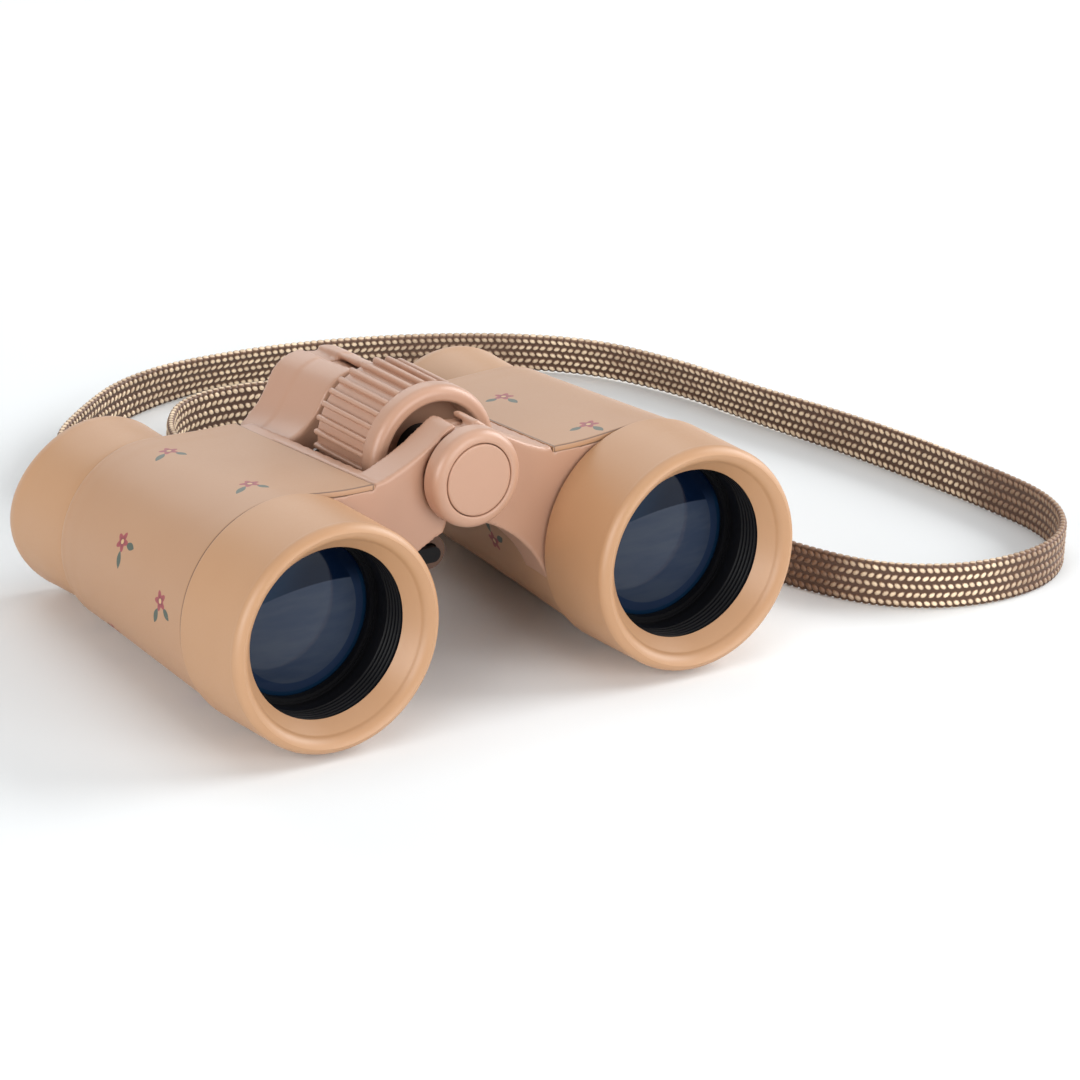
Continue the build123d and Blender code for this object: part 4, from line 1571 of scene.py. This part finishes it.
@dataclass
class HingeCap:
    """The round boss over the hinge, its inlaid disc and the cap behind."""

    finishes: Finishes
    front: float = -25.8
    radius: float = 8.9
    disc_radius: float = 6.6
    bore: float = 5.4
    hub: float = 7.8
    seat: float = -21.1
    rear_base: float = 29.4
    rear_radius: float = 7.2

    def turn(self, node: str, profile: Sequence[Point2], body: str, closed: bool) -> None:
        """Turn one piece about the hinge.

        Args:
            node: the node it stands in for.
            profile: radius and station points.
            body: the body it rides on.
            closed: whether the profile stays off the axis.
        """
        mesh = turned(f"{node}_skin", profile, 0.0, HINGE_RISE, closed=closed)
        finished(f"{node}_skin", mesh, self.finishes.bridge, body, node)

    def build(self) -> None:
        """Make the three pieces."""
        edge, front, disc = self.radius, self.front, self.disc_radius
        bore, hub, seat, bed = self.bore, self.hub, self.seat, front + 1.5
        rim = [(bore, seat), (hub, seat), (hub, seat - 0.9), (edge, seat - 0.9)]
        rim += [(edge, seat - 1.1), (edge, front + 2.1)]
        rim += through((edge, front + 1.9), (edge - 0.5, front + 0.5), (edge - 1.7, front), 8)
        rim += [(disc + 0.4, front), (disc + 0.2, front + 0.03), (disc + 0.07, front + 0.13)]
        rim += [(disc, front + 0.35), (disc, bed), (bore, bed)]
        self.turn("hinge_cap", rim, "right_half", True)
        plate = [(0.0, front), (3.0, front), (disc - 0.7, front), (disc - 0.45, front)]
        plate += [(disc - 0.28, front + 0.05), (disc - 0.17, front + 0.18), (disc - 0.15, front + 0.4)]
        plate += [(disc - 0.15, bed), (0.0, bed)]
        self.turn("hinge_cap_disc", plate, "right_half", False)
        base, knob_radius, top = self.rear_base, self.rear_radius, self.rear_base + 2.4
        knob = [(0.0, base), (knob_radius - 0.2, base)]
        knob += [(knob_radius, base + rise) for rise in (0.05, 0.2, 0.7)]
        knob += through((knob_radius, base + 0.8), (6.6, base + 1.9), (5.2, top), 8)
        knob += [(4.9, top), (0.0, top)]
        self.turn("hinge_rear_cap", knob, "left_half", False)


@dataclass
class FocusWheel:
    """The focus wheel: a turned core with a smooth front rim and a ring of ribs."""

    finishes: Finishes
    front: float = -11.9
    rear: float = 7.6
    radius: float = 12.8
    rib_depth: float = 0.95
    rib_width: float = 1.0
    rib_count: int = 30
    rim: float = 3.8
    rib_crease: float = math.radians(38)
    hollow: float = 9.9
    bore: float = 4.6
    web: Point2 = (-6.4, 2.6)

    def build(self) -> None:
        """Turn the core and set the ribs round it."""
        front, rear, edge = self.front, self.rear, self.radius
        core, start = edge - self.rib_depth, front + self.rim
        inner, bore, (web_front, web_rear) = self.hollow, self.bore, self.web
        profile = [(bore, web_front), (inner - 0.4, web_front), (inner - 0.1, web_front - 0.1)]
        profile += [(inner, web_front - 0.4), (inner, -8.5), (inner, front + 0.9)]
        profile += through((inner, front + 0.6), (inner + 0.2, front + 0.15), (10.6, front), 6)
        profile += [(11.0, front)]
        profile += through((11.3, front), (12.35, front + 0.5), (edge, front + 1.7), 10)
        profile += [(edge, front + 2.0), (edge, start - 0.4), (edge - 0.06, start - 0.12)]
        profile += [(edge - 0.25, start), (core + 0.1, start + 0.02)]
        profile += [(core, start + 0.15), (core, start + 0.4), (core, rear - 0.4)]
        profile += [(core - 0.08, rear - 0.08), (core - 0.3, rear), (inner, rear)]
        profile += [(inner, web_rear), (bore, web_rear)]
        mesh = turned("focus_wheel_skin", profile, 0.0, HINGE_RISE)
        ribs = self.ribs(core, start)
        for name, part in (("focus_wheel_skin", mesh), ("focus_wheel_ribs", ribs)):
            finished(name, part, self.finishes.bridge, "focus_drive", "focus_wheel")

    def ribs(self, core: float, start: float) -> bpy.types.Mesh:
        """Repeat one rounded rib.

        Args:
            core: the radius that the ribs stand on.
            start: the station of their front ends.

        Returns:
            The ribs in the row frame.
        """
        half, top, rear = self.rib_width / 2, self.radius, self.rear
        shoulder = [(0.0, core - 0.3), (0.0, top - 0.42)]
        shoulder += [(0.06, top - 0.2), (0.2, top - 0.05), (0.38, top)]
        section = [(run - half, rise) for run, rise in shoulder]
        section += [(half - run, rise) for run, rise in reversed(shoulder)]
        rows = [(start - 0.1, 0.0), (rear - 0.45, 0.0), (rear - 0.2, 0.08), (rear - 0.04, 0.28)]
        points, faces = [], []
        for station, drop in rows:
            taper = 1 - drop * 0.3
            points += [(x * taper, station, z - (drop if z > core else 0.0)) for x, z in section]
        wide = len(section)
        for row in range(len(rows) - 1):
            for step in range(wide):
                one, two = row * wide + step, row * wide + (step + 1) % wide
                faces.append((one, two, two + wide, one + wide))
        faces += [tuple(range(wide)), tuple(range(len(points) - wide, len(points)))]
        rib = bpy.data.meshes.new("rib")
        rib.from_pydata(points, [], faces)
        recalculated(rib)
        values = {"Count": self.rib_count, "Material": self.finishes.bridge}
        mesh = rib_ring().bake("focus_wheel_ribs", rib, values)
        mesh.transform(BENCH.matrix @ Matrix.Translation((0.0, 0.0, HINGE_RISE)))
        mesh.shade_smooth()
        mesh.set_sharp_from_angle(angle=self.rib_crease)
        return mesh


# ---- strap -----------------------------------------------------------------------------


@dataclass(frozen=True)
class Spot:
    """One place on the strap: how far along, where it is, and its run, face and upper edge."""

    distance: float
    point: Vector
    run: Vector
    face: Vector
    edge: Vector


@dataclass
class Yarn:
    """The places of the yarn floats, each with its turn, size and painted highlight strength."""

    places: list[Vector] = field(default_factory=list)
    turns: list[float] = field(default_factory=list)
    sizes: list[float] = field(default_factory=list)
    glints: list[float] = field(default_factory=list)

    def lay(self, place: Vector, run: Vector, out: Vector, size: Point3, glint: float) -> None:
        """Add one float.

        Args:
            place: its middle.
            run: the way that it runs.
            out: the way that it faces.
            size: its length, width and height, in millimetres.
            glint: how strongly its painted highlight shows.
        """
        self.places.append(place)
        self.turns += Matrix((run, out.cross(run), out)).transposed().to_euler("XYZ")
        self.sizes += size
        self.glints.append(glint)

    def mesh(self) -> bpy.types.Mesh:
        """Make loose points of the places.

        Returns:
            The points, with the attributes turn, shape and glint, the painted highlight's strength.
        """
        mesh = bpy.data.meshes.new("float_places")
        mesh.from_pydata([tuple(place) for place in self.places], [], [])
        for name, values in (("turn", self.turns), ("shape", self.sizes)):
            mesh.attributes.new(name, "FLOAT_VECTOR", "POINT").data.foreach_set("vector", values)
        mesh.attributes.new("glint", "FLOAT", "POINT").data.foreach_set("value", self.glints)
        return mesh


@dataclass
class NeckStrap:
    """The flat braided strap that stands on its edge, with both ends at the stitched loop."""

    finishes: Finishes
    width: float = 8.8
    thickness: float = 1.5
    laid: float = 4.4
    exit_height: float = 18.0
    length: float = 0.645
    core_inset: float = 0.3
    core_sink: float = 0.25
    core_rounding: float = 0.4
    core_gap: float = 1.0
    pitch: float = 1.36
    rows: int = 5
    row_gap: float = 1.62
    slant: float = 36.0
    face_sink: float = 0.3
    edge_sink: float = 0.42
    face_float: Point3 = (1.8, 1.2, 0.36)
    edge_float: Point3 = (1.75, 1.25, 0.36)
    float_sides: int = 8
    lean: float = 18.0
    leaning: tuple[float, float, float, float] = (118.0, 150.0, 235.0, 300.0)
    # stretches (start, end, level) where the painted highlights are dimmed
    dull: tuple[tuple[float, float, float], ...] = (
        (-1.0, 70.0, 0.15),
        (184.0, 208.0, 0.55),
        (310.0, 361.0, 0.25),
        (391.0, 515.0, 0.05),
        (560.0, 650.0, 0.5),
    )
    dull_fade: float = 9.0
    centre: float = 1.7
    resolution: int = 24
    seed: int = 7
    route: list[Point3] = field(default_factory=list)

    def __post_init__(self) -> None:
        """Lay out the route's points, in millimetres of the row frame."""
        rise, low = self.exit_height, self.laid
        self.route = [
            (-9.4, -4.0, rise),
            (-9.4, 16.0, rise),
            (-10.8, 37.0, 14.2),
            (-15.6, 56.0, 8.4),
            (-21.5, 72.0, low),
            (-19.6, 84.6, low),
            (-9.8, 93.2, low),
            (5.0, 103.2, low),
            (24.0, 107.8, low),
            (49.0, 105.2, low),
            (76.0, 96.4, low),
            (97.5, 83.4, low),
            (107.6, 66.0, low),
            (113.0, 47.5, low),
            (121.8, 24.5, low),
            (128.4, -2.0, low),
            (131.4, -22.5, low),
            (121.0, -37.0, low),
            (101.5, -39.9, low),
            (84.5, -32.6, low),
            (75.0, -17.5, low),
            (67.5, 7.0, low),
            (62.8, 34.0, low),
            (60.5, 62.0, low),
            (50.0, 80.6, low),
            (31.0, 90.9, low),
            (12.0, 91.4, low),
            (1.8, 80.5, low),
            (-4.2, 62.0, 7.4),
            (-6.2, 40.0, 13.4),
            (-6.6, 18.0, rise),
            (-6.6, -4.0, rise),
        ]
        self.route = [(x, y - self.centre, z) for x, y, z in self.route]

    def centreline(self) -> list[Vector]:
        """Lay a smooth line along the route.

        Returns:
            Its points, in metres.
        """
        curve = bpy.data.curves.new("strap_line", "CURVE")
        curve.dimensions = "3D"
        curve.resolution_u = self.resolution
        spline = curve.splines.new("NURBS")
        spline.points.add(len(self.route) - 1)
        for point, (x, y, z) in zip(spline.points, self.route):
            point.co = (x * MM, y * MM, z * MM, 1.0)
        spline.order_u = 3
        spline.use_endpoint_u = True
        holder = bpy.data.objects.new("strap_line", curve)
        bpy.context.scene.collection.objects.link(holder)
        bpy.context.view_layer.update()
        line = bpy.data.meshes.new_from_object(holder)
        points = [vertex.co.copy() for vertex in line.vertices]
        bpy.data.objects.remove(holder)
        return points

    def spots(self, line: list[Vector], gap: float) -> list[Spot]:
        """Even places along the strap.

        Args:
            line: the smooth line, in metres.
            gap: the distance between places, in millimetres.

        Returns:
            The places, with their distances in millimetres.
        """
        runs = [0.0]
        for one, two in zip(line, line[1:]):
            runs.append(runs[-1] + (two - one).length)
        last = len(line) - 1
        count = int(runs[-1] / (gap * MM))
        spots, index = [], 0
        for step in range(count + 1):
            goal = runs[-1] * step / count
            while index < last - 1 and runs[index + 1] < goal:
                index += 1
            share = (goal - runs[index]) / (runs[index + 1] - runs[index])
            here = line[index].lerp(line[index + 1], share)
            run = (line[min(index + 3, last)] - line[max(index - 2, 0)]).normalized()
            side = run.cross(Vector((0, 0, 1))).normalized()
            top = side.cross(run).normalized()
            lean = math.radians(self.lean) * self.lean_share(goal / MM)
            face = side * math.cos(lean) - top * math.sin(lean)
            edge = top * math.cos(lean) + side * math.sin(lean)
            spots.append(Spot(goal / MM, here, run, face, edge))
        return spots

    def lean_share(self, distance: float) -> float:
        """How much the strap leans.

        Args:
            distance: millimetres along the strap.

        Returns:
            A share from 0 to 1.
        """
        start, full, late, end = self.leaning
        share = min((distance - start) / (full - start), (end - distance) / (end - late), 1.0)
        share = max(share, 0.0)
        return share * share * (3 - 2 * share)

    def shine(self, distance: float) -> float:
        """How strongly the painted highlights on the yarn show.

        Args:
            distance: millimetres along the strap.

        Returns:
            A share from 0 to 1.
        """
        level = 1.0
        for start, end, low in self.dull:
            inside = min(distance - start, end - distance) / self.dull_fade + 0.5
            inside = min(max(inside, 0.0), 1.0)
            level = min(level, 1.0 - (1.0 - low) * inside)
        return level

    def core(self, line: list[Vector]) -> bpy.types.Mesh:
        """The flat core that the yarn lies on.

        Args:
            line: the smooth line, in metres.

        Returns:
            The core as a closed mesh.
        """
        across = (self.width / 2 - self.core_inset) * MM
        deep = (self.thickness / 2 - self.core_sink) * MM
        corners = [(deep, -across), (deep, across), (-deep, across), (-deep, -across)]
        section = rounded(corners, self.core_rounding * MM, 3)
        points, faces = [], []
        for spot in self.spots(line, self.core_gap):
            points += [tuple(spot.point + spot.face * a + spot.edge * b) for a, b in section]
        wide = len(section)
        for first in range(0, len(points) - wide, wide):
            for step in range(wide):
                one, two = first + step, first + (step + 1) % wide
                faces.append((one, two, two + wide, one + wide))
        faces += [tuple(range(wide)), tuple(range(len(points) - wide, len(points)))]
        mesh = bpy.data.meshes.new("strap_core")
        mesh.from_pydata(points, [], faces)
        recalculated(mesh)
        return mesh

    def float_shape(self) -> bpy.types.Object:
        """Make one yarn float: a low dome, one unit long, with its height kept for the shader.

        Returns:
            The float, which isn't in the scene yet.
        """
        points, crown, faces, sides = [], [], [], self.float_sides
        for radius, height, share in ((1.0, -0.35, 0.0), (0.72, 0.62, 0.62)):
            for step in range(sides):
                angle = math.tau * step / sides
                points.append((math.cos(angle) * radius / 2, math.sin(angle) * radius / 2, height))
                crown.append(share)
        points.append((0.0, 0.0, 1.0))
        crown.append(1.0)
        for step in range(sides):
            after = (step + 1) % sides
            faces.append((step, after, sides + after, sides + step))
            faces.append((sides + step, sides + after, 2 * sides))
        mesh = bpy.data.meshes.new("yarn_float")
        mesh.from_pydata(points, [], faces)
        mesh.attributes.new("crown", "FLOAT", "POINT").data.foreach_set("value", crown)
        mesh.shade_smooth()
        return bpy.data.objects.new("yarn_float", mesh)

    def floats(self, line: list[Vector]) -> bpy.types.Mesh:
        """Lay the yarn floats on both faces and both edges.

        Args:
            line: the smooth line, in metres.

        Returns:
            All the floats in one mesh.
        """
        draw = random.Random(self.seed)
        yarn = Yarn()
        sunk = (self.thickness / 2 - self.face_sink) * MM
        long, wide, high = self.face_float
        for spot in self.spots(line, self.pitch):
            # strength of the painted highlights here
            shine = self.shine(spot.distance)
            for sign in (1, -1):
                out = spot.face * sign
                for row in range(self.rows):
                    odd = row % 2
                    offset = (row - (self.rows - 1) / 2) * self.row_gap
                    shift = 0.5 * odd * self.pitch + draw.uniform(-0.08, 0.08)
                    place = spot.point + out * sunk + spot.edge * offset * MM + spot.run * shift * MM
                    angle = math.radians(self.slant * (1 if odd else -1) * sign + draw.uniform(-5, 5))
                    run = spot.run * math.cos(angle) + spot.edge * math.sin(angle)
                    size = (long + draw.uniform(-0.1, 0.1), wide, high)
                    yarn.lay(place, run, out, size, shine * draw.uniform(0.75, 1.1))
            for sign in (1, -1):
                out = spot.edge * sign
                place = spot.point + out * (self.width / 2 - self.edge_sink) * MM
                yarn.lay(place, spot.run, out, self.edge_float, shine * draw.uniform(0.6, 1.0))
        template = self.float_shape()
        bpy.context.scene.collection.objects.link(template)
        values = {"Float": template, "Size": MM, "Material": self.finishes.braid}
        mesh = yarn_floats().bake("strap_floats", yarn.mesh(), values)
        bpy.data.objects.remove(template)
        return mesh

    def build(self) -> None:
        line = self.centreline()
        bm = bmesh.new()
        bm.from_mesh(self.core(line))
        bm.from_mesh(self.floats(line))
        mesh = bpy.data.meshes.new("neck_strap")
        bm.to_mesh(mesh)
        bm.free()
        mesh.shade_smooth()
        piece = finished("neck_strap", mesh, self.finishes.braid, "left_half", "strap")
        tuple(c * MM for c in self.route[0])


def dress_nodes(finishes: Finishes) -> None:
    """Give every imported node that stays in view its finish.

    Args:
        finishes: the object's materials.
    """
    by_slot = {
        "housing_plastic": finishes.bridge,
        "printed_sleeve": finishes.rim,
        "rim_plastic": finishes.rim,
        "black_plastic": finishes.black,
        "lens_glass": finishes.dark_glass,
        "sheet_steel": finishes.steel,
        "strap_braid": finishes.braid,
    }
    for entry in frame["record"]["subparts"]:
        node = frame["nodes"][entry["node"]]
        node.data.materials.clear()
        node.data.materials.append(by_slot[entry["material_slot"]])


def main() -> None:
    """Build the pieces in order."""
    logging.basicConfig(level=logging.INFO, format="%(name)s: %(message)s")
    Studio().build()
    finishes = Finishes()
    dress_nodes(finishes)
    for side in Side:
        ObjectiveEnd(side, finishes).build()
        Eyecup(side, finishes).build()
        Housing(side, finishes).build()
        Chassis(side, finishes).build()
    HingeCap(finishes).build()
    FocusWheel(finishes).build()
    NeckStrap(finishes).build()


if __name__ == "__main__":
    main()
